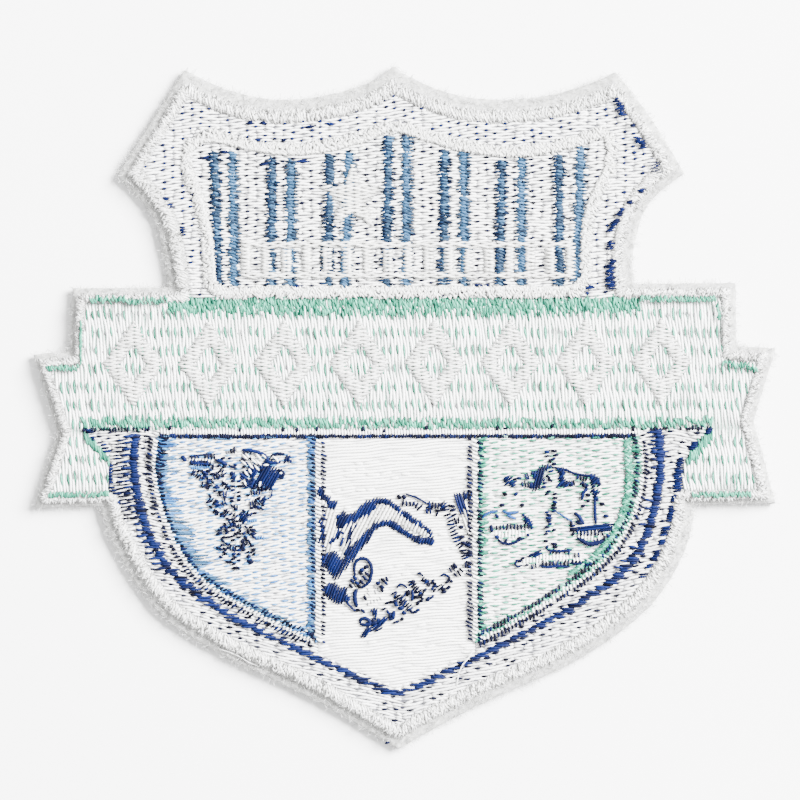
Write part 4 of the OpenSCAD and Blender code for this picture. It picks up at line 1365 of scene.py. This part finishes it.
# Grey strokes in the shadow thread: painted shade on the hand.
grey = drawn(HAND_GREY, 120, pitch=0.5, chance=0.7, radius=0.1, swing=20.0)
sew("handshake_grey", grey, SHADOW, steps=3, sides=4)

# %% [markdown]
# ## Scales
#
# A post on a foot carries a beam, with a pan at each end. Little of it is solid on the
# back, so most of it is drawn as curves and dots, over white strokes.

# %% Scales
SCALES_SHAPES = [
    (75, [(550, 464), (543, 465), (538, 469), (531, 472), (534, 476), (533, 481), (531, 487),
          (534, 491), (540, 489), (541, 484), (544, 480), (544, 474), (546, 470), (551, 468)]),
    (30, [(508, 476), (513, 478), (517, 482), (513, 488), (510, 485), (504, 484), (504, 479)]),
    (40, [(557, 468), (567, 469), (565, 473), (563, 475), (566, 481), (574, 483), (574, 486),
          (562, 487), (556, 488), (559, 483), (559, 478), (561, 474), (557, 471)]),
    (40, [(589, 474), (595, 475), (600, 480), (601, 486), (599, 488), (596, 483), (594, 489),
          (590, 484)]),
    (35, [(580, 482), (586, 482), (589, 486), (586, 489), (583, 486)]),
    (40, [(591, 490), (595, 488), (600, 492), (598, 496), (597, 501), (592, 500), (594, 495)]),
    (6, [(570, 521), (574, 526), (585, 525), (600, 524), (611, 522), (615, 526), (613, 531),
         (600, 531), (586, 531), (574, 532), (571, 529)]),
    (60, [(583, 562), (587, 560), (592, 560), (591, 564), (587, 568), (584, 565)]),
    (40, [(522, 515), (525, 514), (529, 518), (532, 524), (533, 529), (528, 525), (524, 519)]),
    (25, [(527, 555), (534, 552), (541, 550), (542, 553), (535, 557), (528, 558)])]
SCALES_CURVES = [
    [(551, 467, 2), (558, 468, 2), (567, 470, 2), (573, 473, 2.6), (583, 475, 3.6),
     (592, 476, 3.6), (598, 478, 3), (600, 484, 3)],
    [(595, 499, 2.6), (595, 512, 2.4), (596, 524, 2.6)],
    [(588, 488, 2.6), (583, 493, 4), (582, 500, 3)],
    [(576, 514, 3), (579, 516, 2), (584, 524, 2)], [(576, 522, 3), (583, 523, 2.4)],
    [(521, 562, 1.8), (517, 560, 2), (515, 564, 2), (518, 567, 2), (522, 565, 2)],
    [(498, 539, 2.4), (502, 543, 3), (508, 544, 3.2), (514, 543, 3), (519, 540, 3),
     (525, 538, 1.6)],
    [(577, 538, 3.6), (583, 541, 3), (588, 544, 2.8), (594, 544, 2.6), (600, 542, 2.6),
     (605, 540, 2.4)],
    [(539, 566, 2), (548, 567, 3), (558, 566, 2.6), (570, 567, 2.6)],
    [(570, 563, 2), (577, 564, 2), (584, 563, 2)], [(547, 550, 2), (560, 551, 2), (572, 550, 1.4)],
    [(491, 525, 3), (492, 532, 3)]]
SCALES_LINES = [
    [(521, 484, 3), (527, 484, 4), (532, 485, 5)], [(525, 477, 4), (529, 476, 5)],
    [(566, 484, 4), (575, 483, 3)], [(560, 471, 5), (564, 472, 5)]]
SCALES_TICKS = [
    [(495, 528, 3), (510, 527, 4), (530, 527, 4)], [(541, 564, 5), (570, 564, 5)],
    [(549, 552, 3), (561, 552, 4)], [(563, 551, 3), (571, 552, 4)], [(573, 556, 4), (581, 555, 4)],
    [(571, 562, 3), (582, 562, 3)], [(576, 533, 4), (604, 533, 4)], [(530, 567, 2), (538, 566, 3)],
    [(593, 542, 3), (606, 539, 4)], [(576, 477, 3), (588, 479, 3)]]
SCALES_DOTS = [
    (547, 452, 4), (547, 456, 4), (554, 451, 5), (556, 455, 4), (553, 459, 4, 20),
    (550, 461, 3, -45), (519, 478, 4), (515, 479, 3), (554, 530, 3), (548, 477, 4, -30),
    (550, 480, 4, -30), (551, 471, 4), (544, 487, 4), (545, 483, 3), (549, 491, 3), (547, 494, 3),
    (555, 494, 3), (555, 498, 4), (555, 502, 4, -8), (554, 505, 4), (554, 508, 5),
    (554, 511, 4), (547, 512, 3), (549, 515, 4, -8), (549, 518, 6), (549, 521, 4),
    (550, 524, 3), (547, 527, 4, -8), (548, 531, 4), (546, 534, 3), (554, 544, 5, -8),
    (555, 547, 4, -8), (547, 547, 3, 60), (573, 534, 3, 60), (523, 558, 3), (520, 561, 3),
    (571, 524, 5, 80), (573, 530, 5, 10), (546, 541, 3), (519, 538, 3, 20), (506, 541, 3, 60),
    (527, 565, 2), (584, 485, 5, -50)]
SCALES_SPOTS = [
    (505, 494, 3.5, -10), (516, 494, 3.5, 30), (502, 505, 4, -8), (522, 505, 3), (583, 506, 3),
    (602, 504, 4, -8), (606, 516, 4), (497, 537, 3, -20), (528, 535, 1), (588, 495, 3, -20),
    (588, 501, 2), (608, 536, 3, -40), (497, 516, 3, -40), (554, 464, 3), (576, 514, 3, -30),
    (579, 522, 3)]
SCALES_WHITE = [[(494, 533, 10), (512, 534, 14), (528, 532, 10)],
                [(577, 534, 9), (592, 535, 14), (607, 533, 9)],
                [(522, 561, 6), (550, 558, 14), (582, 560, 7)]]
sew("scales_white", drawn(SCALES_WHITE, 150, 87, pitch=0.44, z=SATIN_Z - 0.05), BOBBIN)
sew_figure("scales", SCALES_SHAPES, SCALES_CURVES, SCALES_LINES, SCALES_TICKS, SCALES_DOTS,
           SCALES_SPOTS, seed=160, bold=0.9)

# %% [markdown]
# ## Staff with wings and coils
#
# Two wings spread from the top of a staff, and two coils wind down it. On the back most of
# it shows as dots and ticks round white stitches, with white glints in the right wing, so it
# is drawn from many small marks and few solid shapes.

# %% Caduceus
STAFF_SHAPES = [
    (-20, [(228, 464), (236, 465), (236, 470), (230, 468)]),
    (-40, [(240, 474), (246, 469), (250, 474), (247, 480), (241, 478)]),
    (60, [(266, 455), (270, 456), (272, 462), (275, 468), (281, 469), (284, 473), (282, 477),
          (277, 478), (276, 483), (274, 488), (270, 491), (264, 490), (258, 489), (251, 486),
          (254, 480), (259, 476), (257, 471), (262, 466), (265, 462)]),
    (60, [(247, 468), (253, 463), (257, 466), (257, 474), (252, 480), (248, 474)]),
    (50, [(240, 513), (246, 513), (248, 520), (244, 524), (240, 521)]),
    (20, [(241, 484), (248, 480), (255, 481), (252, 486), (244, 488)]),
    (-30, [(203, 471), (210, 469), (208, 477), (204, 478)]),
    (20, [(213, 503), (217, 500), (220, 504), (217, 508)]),
    (60, [(230, 472), (236, 474), (235, 479), (231, 478)]),
    (50, [(229, 522), (234, 521), (235, 527), (231, 526)]),
    (50, [(261, 499), (265, 496), (266, 501), (262, 504)]),
    (20, [(247, 560), (254, 560), (252, 564), (249, 564)]),
    (70, [(284, 457), (292, 456), (291, 461), (285, 462)])]
STAFF_CURVES = [
    [(242, 450, 2.8), (250, 450, 3), (258, 452, 3), (265, 455, 3), (269, 462, 4)],
    [(271, 456, 2.4), (277, 453.5, 2.4), (285, 454, 2.6)],
    [(266, 462, 2.4), (273, 463, 3), (281, 462, 2.6)],
    [(188, 457, 1.3), (196, 455.5, 1.2), (205, 454.5, 1.1), (214, 454.5, 1)],
    [(190, 463, 1.6), (200, 463.5, 1.8), (212, 464.5, 2.2)],
    [(278, 470, 2.6), (282, 471, 3), (284, 474, 3), (282, 478, 3), (278, 477, 3)],
    [(272, 489, 1.3), (272, 496, 1), (268, 499, 1), (262, 499, 1)],
    [(182, 456, 3.4), (186, 461, 3)], [(216, 460, 3), (221, 461, 3), (227, 465, 3)]]
STAFF_LINES = [
    [(189, 463, 3), (203, 463, 4), (211, 465, 4)], [(192, 472, 4), (195, 474, 4)],
    [(196, 474, 3), (199, 477, 4), (204, 478, 3)], [(209, 478, 4), (209, 483, 4), (210, 487, 4)],
    [(213, 478, 4), (218, 476, 4), (219, 473, 3)], [(219, 470, 3), (222, 472, 4), (226, 475, 3)],
    [(201, 484, 4), (205, 486, 4), (210, 488, 4)], [(221, 482, 4), (226, 486, 5), (230, 488, 3)],
    [(209, 498, 5), (213, 501, 4)], [(213, 511, 3), (219, 514, 4)], [(225, 511, 4), (229, 513, 4)],
    [(233, 507, 3), (239, 508, 3)], [(233, 514, 3), (238, 517, 3)], [(235, 526, 3), (242, 526, 3)],
    [(249, 504, 4), (258, 503, 5), (261, 500, 4)], [(257, 505, 5), (256, 509, 5)],
    [(250, 493, 3), (255, 492, 4), (261, 492, 3)], [(229, 548, 3), (234, 547, 4), (237, 549, 3)],
    [(224, 550, 3), (226, 555, 4)], [(253, 529, 5), (253, 535, 5)]]
STAFF_TICKS = [
    [(190, 457, 2), (200, 456, 2)], [(204, 456, 3), (216, 457, 3)],
    [(230, 451, 4), (236, 450, 5)],
    [(190, 462, 4), (209, 463, 4)], [(222, 494, 5), (228, 494, 4)], [(222, 505, 3), (227, 502, 4)],
    [(243, 453, 4), (252, 452, 4)], [(246, 512, 3), (253, 515, 3)], [(250, 486, 4), (268, 489, 5)]]
STAFF_DOTS = [
    (223, 458, 4), (230, 458, 4), (213, 467, 5, 80), (219, 466, 4), (224, 467, 4), (212, 474, 5),
    (216, 487, 6), (233, 486, 4), (233, 490, 4), (232, 498, 5), (232, 501, 4), (239, 486, 5),
    (239, 492, 4), (239, 496, 4), (239, 500, 4), (233, 481, 4), (239, 481, 4), (215, 491, 4),
    (220, 492, 4), (211, 507, 4, -30), (222, 516, 4), (225, 516, 4, 45), (228, 519, 5, -20),
    (225, 524, 4, -30), (222, 527, 5), (220, 530, 5), (220, 533, 5), (227, 530, 5, -50),
    (227, 533, 4), (228, 537, 6), (224, 537, 4), (222, 539, 3), (222, 545, 4), (227, 544, 4, -40),
    (221, 557, 4, -30), (228, 562, 5, -10), (233, 530, 5), (233, 536, 4), (233, 540, 4),
    (234, 554, 4), (235, 557, 4, -30), (234, 564, 4), (235, 568, 4), (238, 568, 4, -30),
    (239, 550, 5), (239, 554, 4), (239, 560, 4), (239, 533, 5, -20), (239, 537, 5), (242, 541, 4, 80),
    (243, 545, 5, 50), (246, 544, 4, 60), (242, 548, 4), (254, 537, 5, -30), (251, 527, 4),
    (254, 549, 4), (254, 554, 4, 40), (248, 556, 4, 50), (248, 495, 4), (256, 500, 4, 60),
    (262, 509, 4, -40), (252, 508, 4), (215, 503, 4), (219, 505, 4), (222, 514, 4),
    (255, 513, 4), (248, 515, 4), (233, 519, 5), (238, 521, 5), (203, 472, 4, -60),
    (206, 474, 4, 60), (208, 471, 4), (199, 471, 3), (216, 474, 5, 50), (219, 478, 4, 60),
    (223, 476, 3, -45), (213, 482, 4, -50), (208, 481, 4, 80), (218, 487, 4, -20),
    (224, 483, 5, -30), (229, 488, 4, -30), (242, 486, 5, 10), (247, 484, 5, 10),
    (220, 495, 3, -50), (225, 498, 4, 70), (210, 496, 4, -60), (208, 502, 4), (217, 501, 5, -40),
    (259, 498, 4, 40), (263, 505, 3, -50), (258, 507, 4, -40), (232, 506, 4, -45),
    (236, 509, 4, -30), (226, 511, 5, -20), (244, 511, 4, -30), (216, 511, 5, -20),
    (230, 523, 4, -50), (234, 522, 4, 50), (240, 530, 4, -60), (244, 533, 4, 60),
    (248, 531, 4, -60), (236, 534, 4, -30), (226, 527, 4, -40), (230, 527, 4),
    (246, 539, 4, -50), (250, 543, 4, -60), (225, 549, 5, -40), (218, 548, 4, -30),
    (230, 545, 4, -40), (244, 550, 4), (248, 552, 3), (252, 552, 4, 30),
    (231, 514, 4, 45), (243, 459, 4, -30), (246, 463, 6, -35), (244, 467, 4), (250, 458, 6, -45),
    (257, 452, 5, -45), (262, 470, 5), (260, 465, 5, -40), (254, 488, 4),
    (246, 527, 4, -40), (248, 532, 5, -70), (246, 537, 4, -40), (249, 541, 4, -60),
    (252, 546, 4), (218, 534, 4), (219, 530, 3, -30), (223, 541, 4, -30), (228, 548, 4),
    (221, 549, 4, -30), (225, 553, 4, -50), (234, 550, 3), (239, 546, 4), (244, 541, 5, 70),
    (241, 549, 4), (253, 550, 4, -30), (249, 557, 4, 40), (233, 559, 4), (231, 562, 3, -20)]
STAFF_SPOTS = [(227, 531, 4, -50), (253, 530, 5), (253, 534, 5), (243, 547, 4, 60),
               (235, 568, 4), (251, 562, 4), (216, 487, 4), (216, 504, 4)]
STAFF_GLINTS = [
    (259, 457, 9, -42), (264, 456, 8, -48), (254, 461, 8, -45), (259, 463, 8, -42),
    (248, 456, 6, -45), (245, 457, 6, -40), (244, 463, 6, -35), (251, 466, 6, -45),
    (257, 468, 6, -50), (246, 473, 6, -60), (245, 483, 5, -60), (250, 471, 6, -60),
    (266, 465, 5), (275, 458, 6, -40), (277, 460, 5, -60), (281, 473, 2), (260, 484, 5, 80)]
STAFF_BLUE = [[(191, 468, 3), (210, 467, 3)], [(219, 508, 3), (224, 506, 3)],
              [(247, 521, 3), (257, 520, 3)], [(255, 538, 3), (265, 538, 3)],
              [(230, 553, 4), (230, 557, 4)], [(214, 547, 3), (220, 550, 3)],
              [(244, 563, 2), (249, 563, 2)]]
STAFF_WHITE = [[(188, 460, 8), (214, 460, 8)], [(222, 480, 9), (232, 494, 12)],
               [(237, 476, 9), (237, 568, 9)], [(246, 500, 10), (262, 500, 8)]]
STAFF_GREY = [[(215, 460, 3), (220, 461, 4), (227, 465, 4)], [(226, 453, 3), (237, 449, 4)]]
SHORTER = 1.1  # pixels that the dots lose, so that crowded ones stay apart
sew("caduceus_white", drawn(STAFF_WHITE, 250, 60, pitch=0.44, z=SATIN_Z - 0.05), BOBBIN)
glints = dotted(STAFF_GLINTS, 255, thick=0.27, above=0.28)
sew("caduceus_glints", glints, BOBBIN, steps=4)
sew("caduceus_blue", drawn(STAFF_BLUE, 256, pitch=0.3), LIGHT_BLUE, steps=4)
close_dots = [(x, y, long - SHORTER, *turned) for x, y, long, *turned in STAFF_DOTS]
sew_figure("caduceus", STAFF_SHAPES, STAFF_CURVES, STAFF_LINES, STAFF_TICKS, close_dots,
           STAFF_SPOTS, seed=260, bold=0.85)
sew("caduceus_grey", drawn(STAFF_GREY, 330, pitch=0.3), SHADOW, slot="thread_dark_blue")

# %% [markdown]
# ## Star, bars and lozenges
#
# These white figures are plain, and each has its shape in the CAD frame. Two layers of rows
# that cross at a small angle fill it and stand a little over the field.


# %% Plain figures
CROSS_SLOPE = 0.22  # rise over run of the crossing rows
OVER_SATIN = 0.16  # mm that they lie higher than other satin


def crossed_rows(node, seed, z, radius=0.155, pitch=0.5, rise=0.22):
    """Two layers of rows that cross at a small angle, right across a node."""
    dice = random.Random(seed)
    made = []
    for slope in (-CROSS_SLOPE, CROSS_SLOPE):
        for v, start, end, _ in rows(node, lambda u: slope * u, pitch):
            start -= dice.uniform(-0.06, 0.16)
            end += dice.uniform(-0.06, 0.16)
            made.append((((start, v + slope * start, z), (end, v + slope * end, z)),
                         radius * dice.uniform(0.85, 1.15), rise * dice.uniform(0.7, 1.2)))
    return made


plain = {"star": 9, "plinth_band": 9, **{f"ribbon_lozenge_{i}": i for i in range(1, 9)}}
for node, seed in plain.items():
    sew(node + "_satin", crossed_rows(node, seed, SATIN_Z + OVER_SATIN), RAISED_WHITE, (node,))

# %% [markdown]
# ## Stray threads
#
# Machine embroidery leaves stray threads on the back: navy specks along the crest and over
# its edge, blue threads between figures, thin blue stripes among the wide ones, and loose
# white ends at the lower edge. They follow no outline, so each is a path that is read off
# the photograph. Without them the back would look too tidy to be real.

# %% Strays
CREST_NAVY = [[(163, 197, 9), (166, 201, 6)], [(168, 204, 6), (172, 208, 7)],
              [(182, 226, 5), (184, 236, 6)], [(187, 90, 5), (188, 92, 5)],
              [(250, 121, 6), (251, 124, 6)], [(262, 122, 5), (264, 124, 5)],
              [(310, 126, 14), (312, 127, 12)], [(330, 123, 9), (331, 125, 8)],
              [(259, 139, 8), (260, 141, 7)], [(283, 139, 7), (284, 141, 6)]]
EDGE_NAVY = [[(616, 98, 5), (620, 107, 8), (623, 116, 7)], [(633, 124, 4), (633, 127, 4)],
             [(637, 137, 6), (641, 143, 8), (643, 149, 5)], [(641, 189, 6), (641, 193, 5)],
             [(631, 200, 6), (630, 204, 5)], [(622, 208, 5), (619, 216, 6)],
             [(617, 219, 8), (613, 226, 9), (611, 232, 7)], [(611, 240, 6), (610, 250, 6)],
             [(611, 259, 8), (610, 275, 9), (611, 290, 9)]]
EDGE_FAINT = [[(650, 158, 7), (655, 165, 9), (659, 174, 9)]]
COLUMN_NAVY = [[(205, 157, 14), (206, 159, 14)], [(224, 151, 8), (225, 153, 6)],
               [(263, 163, 15), (264, 165, 12)], [(300, 160, 18), (304, 162, 20)],
               [(250, 287, 9), (251, 288, 8)], [(297, 286, 14), (299, 287, 12)],
               [(480, 285, 16), (482, 286, 14)], [(538, 287, 18), (540, 288, 14)],
               [(588, 285, 8), (590, 289, 10)], [(387, 742, 4), (388, 743, 3)]]
THIN_DARK = [[(325, 236, 8), (325, 270, 8)], [(498, 250, 5), (498, 270, 5)],
             [(561, 255, 6), (561, 289, 6)], [(330, 155, 9), (330, 182, 9)]]
THIN_MID = [[(285, 246, 5), (285, 270, 5)], [(344, 241, 6), (344, 289, 6)],
            [(523, 252, 6), (523, 270, 6)], [(349, 197, 9), (347, 208, 7)]]
STRAYS_BLUE = [[(482, 518, 3), (486, 514, 4), (491, 512, 4), (498, 511, 3)],
               [(502, 511, 3), (508, 513, 4), (519, 512, 3)], [(507, 515, 3), (516, 519, 2)],
               [(555, 511, 2), (563, 516, 3), (573, 522, 3)]]
LIP_THREAD = [(219, 649, 1), (229, 652, 1), (240, 657, 1), (250, 663, 1), (258, 666, 1)]
LOOSE_END = [(474, 648, 1), (470, 656, 1), (463, 664, 1), (459, 672, 1), (457, 682, 1),
             (456, 691, 1)]
LIP_Z = 1.62  # mm, on the edge's outer lip
specks = drawn(CREST_NAVY + COLUMN_NAVY, 400, 8, pitch=0.36, ragged=0.4, z=SATIN_Z + 0.08,
               swing=12.0)
specks += drawn(EDGE_NAVY, 420, 10, pitch=0.31, ragged=0.4, z=OVER_RIDGE, swing=16.0,
                radius=0.17)
specks += drawn(EDGE_FAINT, 430, 10, pitch=0.3, ragged=0.5, z=OVER_RIDGE - 0.05, swing=20.0,
                radius=0.09, chance=0.7)
sew("navy_specks", specks, NAVY, steps=4)
*thick, thin = STRAYS_BLUE
strays = [(laid(path, SATIN_Z + 0.26), 0.21, 0.1) for path in thick]
strays.append((laid(thin, SATIN_Z + 0.22), 0.14, 0.1))
sew("blue_strays", strays, STRAY_BLUE)
for blue, paths in ((DARK_BLUE, THIN_DARK), (MID_BLUE, THIN_MID)):
    sew(blue[1] + "_thin", drawn(paths, 440, -20, pitch=0.36, ragged=0.25, z=SATIN_Z + 0.1), blue)
loose = [(x, y, z + 0.3 * math.sin(i))
         for i, (x, y, z) in enumerate(laid(LOOSE_END, SATIN_Z + 0.25))]
sew("loose_ends", [(loose, 0.09, 0.25), (laid(LIP_THREAD, LIP_Z), 0.08, 0.1)], BOBBIN, steps=24,
    sides=6)

# %% [markdown]
# ## The stitched edge
#
# The cut edge of the cloth is wrapped in dense satin. Seen from the back, the satin is a
# crisp ridge, and outside it lies a soft fuzzy lip. The lip is one closed ring swept round
# the CAD edge's own outline, roughened by a small tree. The cloth is white, but the lip and
# its fibres are painted grey, as painted shade on their outer slope. Threads alone would leave
# holes to see through, and a ring alone would look like plastic, so the edge gets both.


# %% Edge roll
TOP_SHARES = (0.60, 0.82)  # of the edge's width, at the CAD ridge's flat top
ROLL = [(0.00, 0.95), (0.03, 0.60), (0.12, 0.36), (0.30, 0.28), (0.80, 0.28), (1.00, 0.40),
        (1.00, 1.50), (0.88, 1.72), (0.70, 1.82), (0.52, 1.72), (0.38, 1.44), (0.22, 1.34),
        (0.10, 1.26), (0.02, 1.12)]  # share of the width from outside, height in mm
ROLL_PITCH = 0.45  # mm
FUZZY_SHARE, FUZZY_Z = 0.4, 0.5  # fibres grow outside this share and above this height in mm
EDGE_TOP = float(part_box("edge_border")[1].z) / MM


def edge_lines(pitch, *shares):
    """Closed lines round the patch, each at a share of the edge's width."""
    outer_top, inner_top = paired(*ring_sides("edge_border", EDGE_TOP), pitch)
    width = (inner_top - outer_top) / (TOP_SHARES[1] - TOP_SHARES[0])
    return [outer_top + (share - TOP_SHARES[0]) * width for share in shares]


def roll_mesh():
    """The closed ring of the edge, with a number that says where fibres grow."""
    lines = edge_lines(ROLL_PITCH, *[share for share, _ in ROLL])
    count, ring = len(lines[0]) - 1, len(ROLL)
    places = [(float(line[i][0]) * MM, float(line[i][1]) * MM, z * MM)
              for i in range(count) for line, (_, z) in zip(lines, ROLL)]
    faces = [(i * ring + j, ((i + 1) % count) * ring + j,
              ((i + 1) % count) * ring + (j + 1) % ring, i * ring + (j + 1) % ring)
             for i in range(count) for j in range(ring)]
    mesh = bpy.data.meshes.new("edge_roll_plan")
    mesh.from_pydata(places, [], faces)
    shell = bmesh.new()
    shell.from_mesh(mesh)
    bmesh.ops.recalc_face_normals(shell, faces=shell.faces)
    shell.to_mesh(mesh)
    shell.free()
    fuzzy = [float(share < FUZZY_SHARE and z > FUZZY_Z) for share, z in ROLL] * count
    mesh.attributes.new("fuzzy", "FLOAT", "POINT").data.foreach_set("value", fuzzy)
    return mesh


def uneven_tree():
    """Pushes a surface in and out along its normals by soft noise."""
    tree, given, out = new_tree("uneven_felt", [
        ("Amount", "Float", 0.0001), ("Scale", "Float", 900.0), ("Material", "Material", None)])
    noise = add(tree, "ShaderNodeTexNoise", {"Scale": given["Scale"], "Detail": 2.0})
    normal = add(tree, "GeometryNodeInputNormal").outputs["Normal"]
    push = maths(tree, "MULTIPLY", maths(tree, "SUBTRACT", noise.outputs["Fac"], 0.5),
                 given["Amount"])
    moved = add(tree, "GeometryNodeSetPosition",
                {"Geometry": given["Geometry"],
                 "Offset": vectors(tree, "SCALE", {0: normal, "Scale": push})})
    return end_tree(tree, moved.outputs["Geometry"], given["Material"], out)


roll = built("edge_roll", roll_mesh(), uneven_tree(),
             {"Amount": 0.35 * MM, "Scale": 1100.0, "Material": LIP})
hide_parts("edge_border")
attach(roll, "root")
print("edge roll:", len(roll.data.polygons), "faces")

# %% [markdown]
# ## Fibres on the lip
#
# The lip is fluffy, with short fibres that stand off it and soften its outline. Hair curves
# would not survive as a mesh, so a tree scatters bent slivers with three sides, thin enough
# to read as fluff and light enough to keep as real faces.


# %% Edge fibres
TILT = 1.2  # radians that a fibre may lean
FIBRE_SIZES = (0.4, 1.5)  # smallest and largest, as shares of the given size


def fibre_tree():
    """Scatters short bent fibres over the fuzzy part of a surface."""
    tree, given, out = new_tree("fibres", [
        ("Density", "Float", 8e6), ("Length", "Float", 0.0006), ("Thickness", "Float", 0.00002),
        ("Seed", "Int", 4), ("Material", "Material", None)])
    calc = partial(maths, tree)
    scatter = add(tree, "GeometryNodeDistributePointsOnFaces",
                  {"Mesh": given["Geometry"], "Seed": given["Seed"],
                   "Density": calc("MULTIPLY", named_float(tree, "fuzzy"), given["Density"])})
    tip = add(tree, "ShaderNodeCombineXYZ", {"Z": given["Length"]})
    line = add(tree, "GeometryNodeCurvePrimitiveLine", {"End": tip.outputs[0]})
    steps = add(tree, "GeometryNodeResampleCurve", {"Curve": line.outputs["Curve"], "Count": 4})
    along = add(tree, "GeometryNodeSplineParameter").outputs["Factor"]
    bend = calc("MULTIPLY", calc("POWER", along, 2.0), calc("MULTIPLY", given["Length"], 0.7))
    aside = add(tree, "ShaderNodeCombineXYZ", {"X": bend})
    curl = add(tree, "GeometryNodeSetPosition",
               {"Geometry": steps.outputs["Curve"], "Offset": aside.outputs[0]})
    ring = add(tree, "GeometryNodeCurvePrimitiveCircle",
               {"Resolution": 3, "Radius": given["Thickness"]})
    sweep = add(tree, "GeometryNodeCurveToMesh",
                {"Curve": curl.outputs["Geometry"], "Profile Curve": ring.outputs["Curve"]})
    size = add(tree, "FunctionNodeRandomValue", {2: FIBRE_SIZES[0], 3: FIBRE_SIZES[1]},
               data_type="FLOAT")
    spin = add(tree, "FunctionNodeRandomValue", {0: (-TILT, -TILT, 0.0), 1: (TILT, TILT, 6.28)},
               data_type="FLOAT_VECTOR")
    place = add(tree, "GeometryNodeInstanceOnPoints",
                {"Points": scatter.outputs["Points"], "Instance": sweep.outputs["Mesh"],
                 "Rotation": scatter.outputs["Rotation"], "Scale": size.outputs[1]})
    turned = add(tree, "GeometryNodeRotateInstances",
                 {"Instances": place.outputs["Instances"], "Rotation": spin.outputs[0]})
    return end_tree(tree, turned.outputs["Instances"], given["Material"], out, smooth=False)


fibres = built("edge_fibres", roll_mesh(), fibre_tree(),
               {"Density": 9e6, "Length": 0.55 * MM, "Thickness": 0.02 * MM, "Seed": 4,
                "Material": FIBRE})
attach(fibres, "root")
print("edge fibres:", len(fibres.data.polygons), "faces")

# %% [markdown]
# ## The ridge
#
# Over the roll lies the ridge: crossed threads with a slight bow, as the machine's pull
# leaves them, and a great many tiny stitches that make it look wrapped and worn. A quarter of
# those is grey, for the shade between the others. The face side gets a wide row of satin.

# %% Edge ridge
EDGE_PITCH = 0.44  # mm
RIDGE_WIDTH = 2.2  # mm, the widest that the small stitches spread
# Lines are given by their shares of the edge's width, from outside to inside.
ridge = crossed(*edge_lines(EDGE_PITCH, 0.42, 1.04), seed=11, slant=1, z_a=1.25, z_b=1.6,
                radius=0.15, rise=0.66, ragged=0.25, bow=0.14)
sew_halves("edge_ridge", ridge, EDGE_WHITE, steps=8, arch=2.4)
crest_line = between(*edge_lines(EDGE_PITCH, 0.42, 1.04))
crest_line[:, 2] = np.minimum(crest_line[:, 2], RIDGE_WIDTH)
beads = speckled(crest_line, None, seed=14, length=(0.45, 1.0), pitch=0.064, radius=0.12,
                 swing=50.0, z=1.62, crown=0.38)
shaded_beads, beads = dealt(beads, share=0.24, seed=17)
sew("edge_shaded_beads", shaded_beads, EDGE_GREY, steps=3, sides=4)
sew_halves("edge_beads", beads, EDGE_WHITE, steps=3, sides=4)
seam = speckled(between(*edge_lines(EDGE_PITCH, 0.9, 1.1)), None, seed=15, length=(0.5, 0.9),
                pitch=0.15, radius=0.13, swing=40.0, z=1.5)
sew("edge_seam", seam, EDGE_WHITE, steps=3, sides=4)
wrap = rungs(*edge_lines(EDGE_PITCH, 0.05, 0.98), seed=12, z_a=0.62, z_b=0.42, radius=0.25,
             rise=-0.28, ragged=0.08, slant=1, bow=0.12)
sew_halves("edge_wrap", wrap, EDGE_WHITE, steps=8, sides=6, arch=3.0)

# %% [markdown]
# ## The front
#
# The coloured face is turned down and the photograph doesn't show it. Its fields keep their
# plain shapes, and each is sewn in long fill stitches in its own colour, so that the patch
# still looks embroidered when it is turned over.

# %% Front
FRONT_Z = 0.27  # mm, where the front stitches go into the cloth
for node, colour, lean in (("front_crest", NAVY, 0.05), ("front_columns", BOBBIN, 0.0),
                           ("front_ribbon", MINT, 0.0), ("front_shield", NAVY, 0.05),
                           ("front_left", LIGHT_BLUE, 0.1), ("front_centre", BOBBIN, 0.1),
                           ("front_right", MINT, 0.1)):
    threads, _ = fill(node, lambda x: lean * x, len(node), pitch=0.4, length=1.5, jitter=0.4,
                      dive=0.3, rise=-0.07, z=FRONT_Z, part=0.0, sway=0.0)
    sew(node + "_stitches", threads, colour, (node,), steps=5)
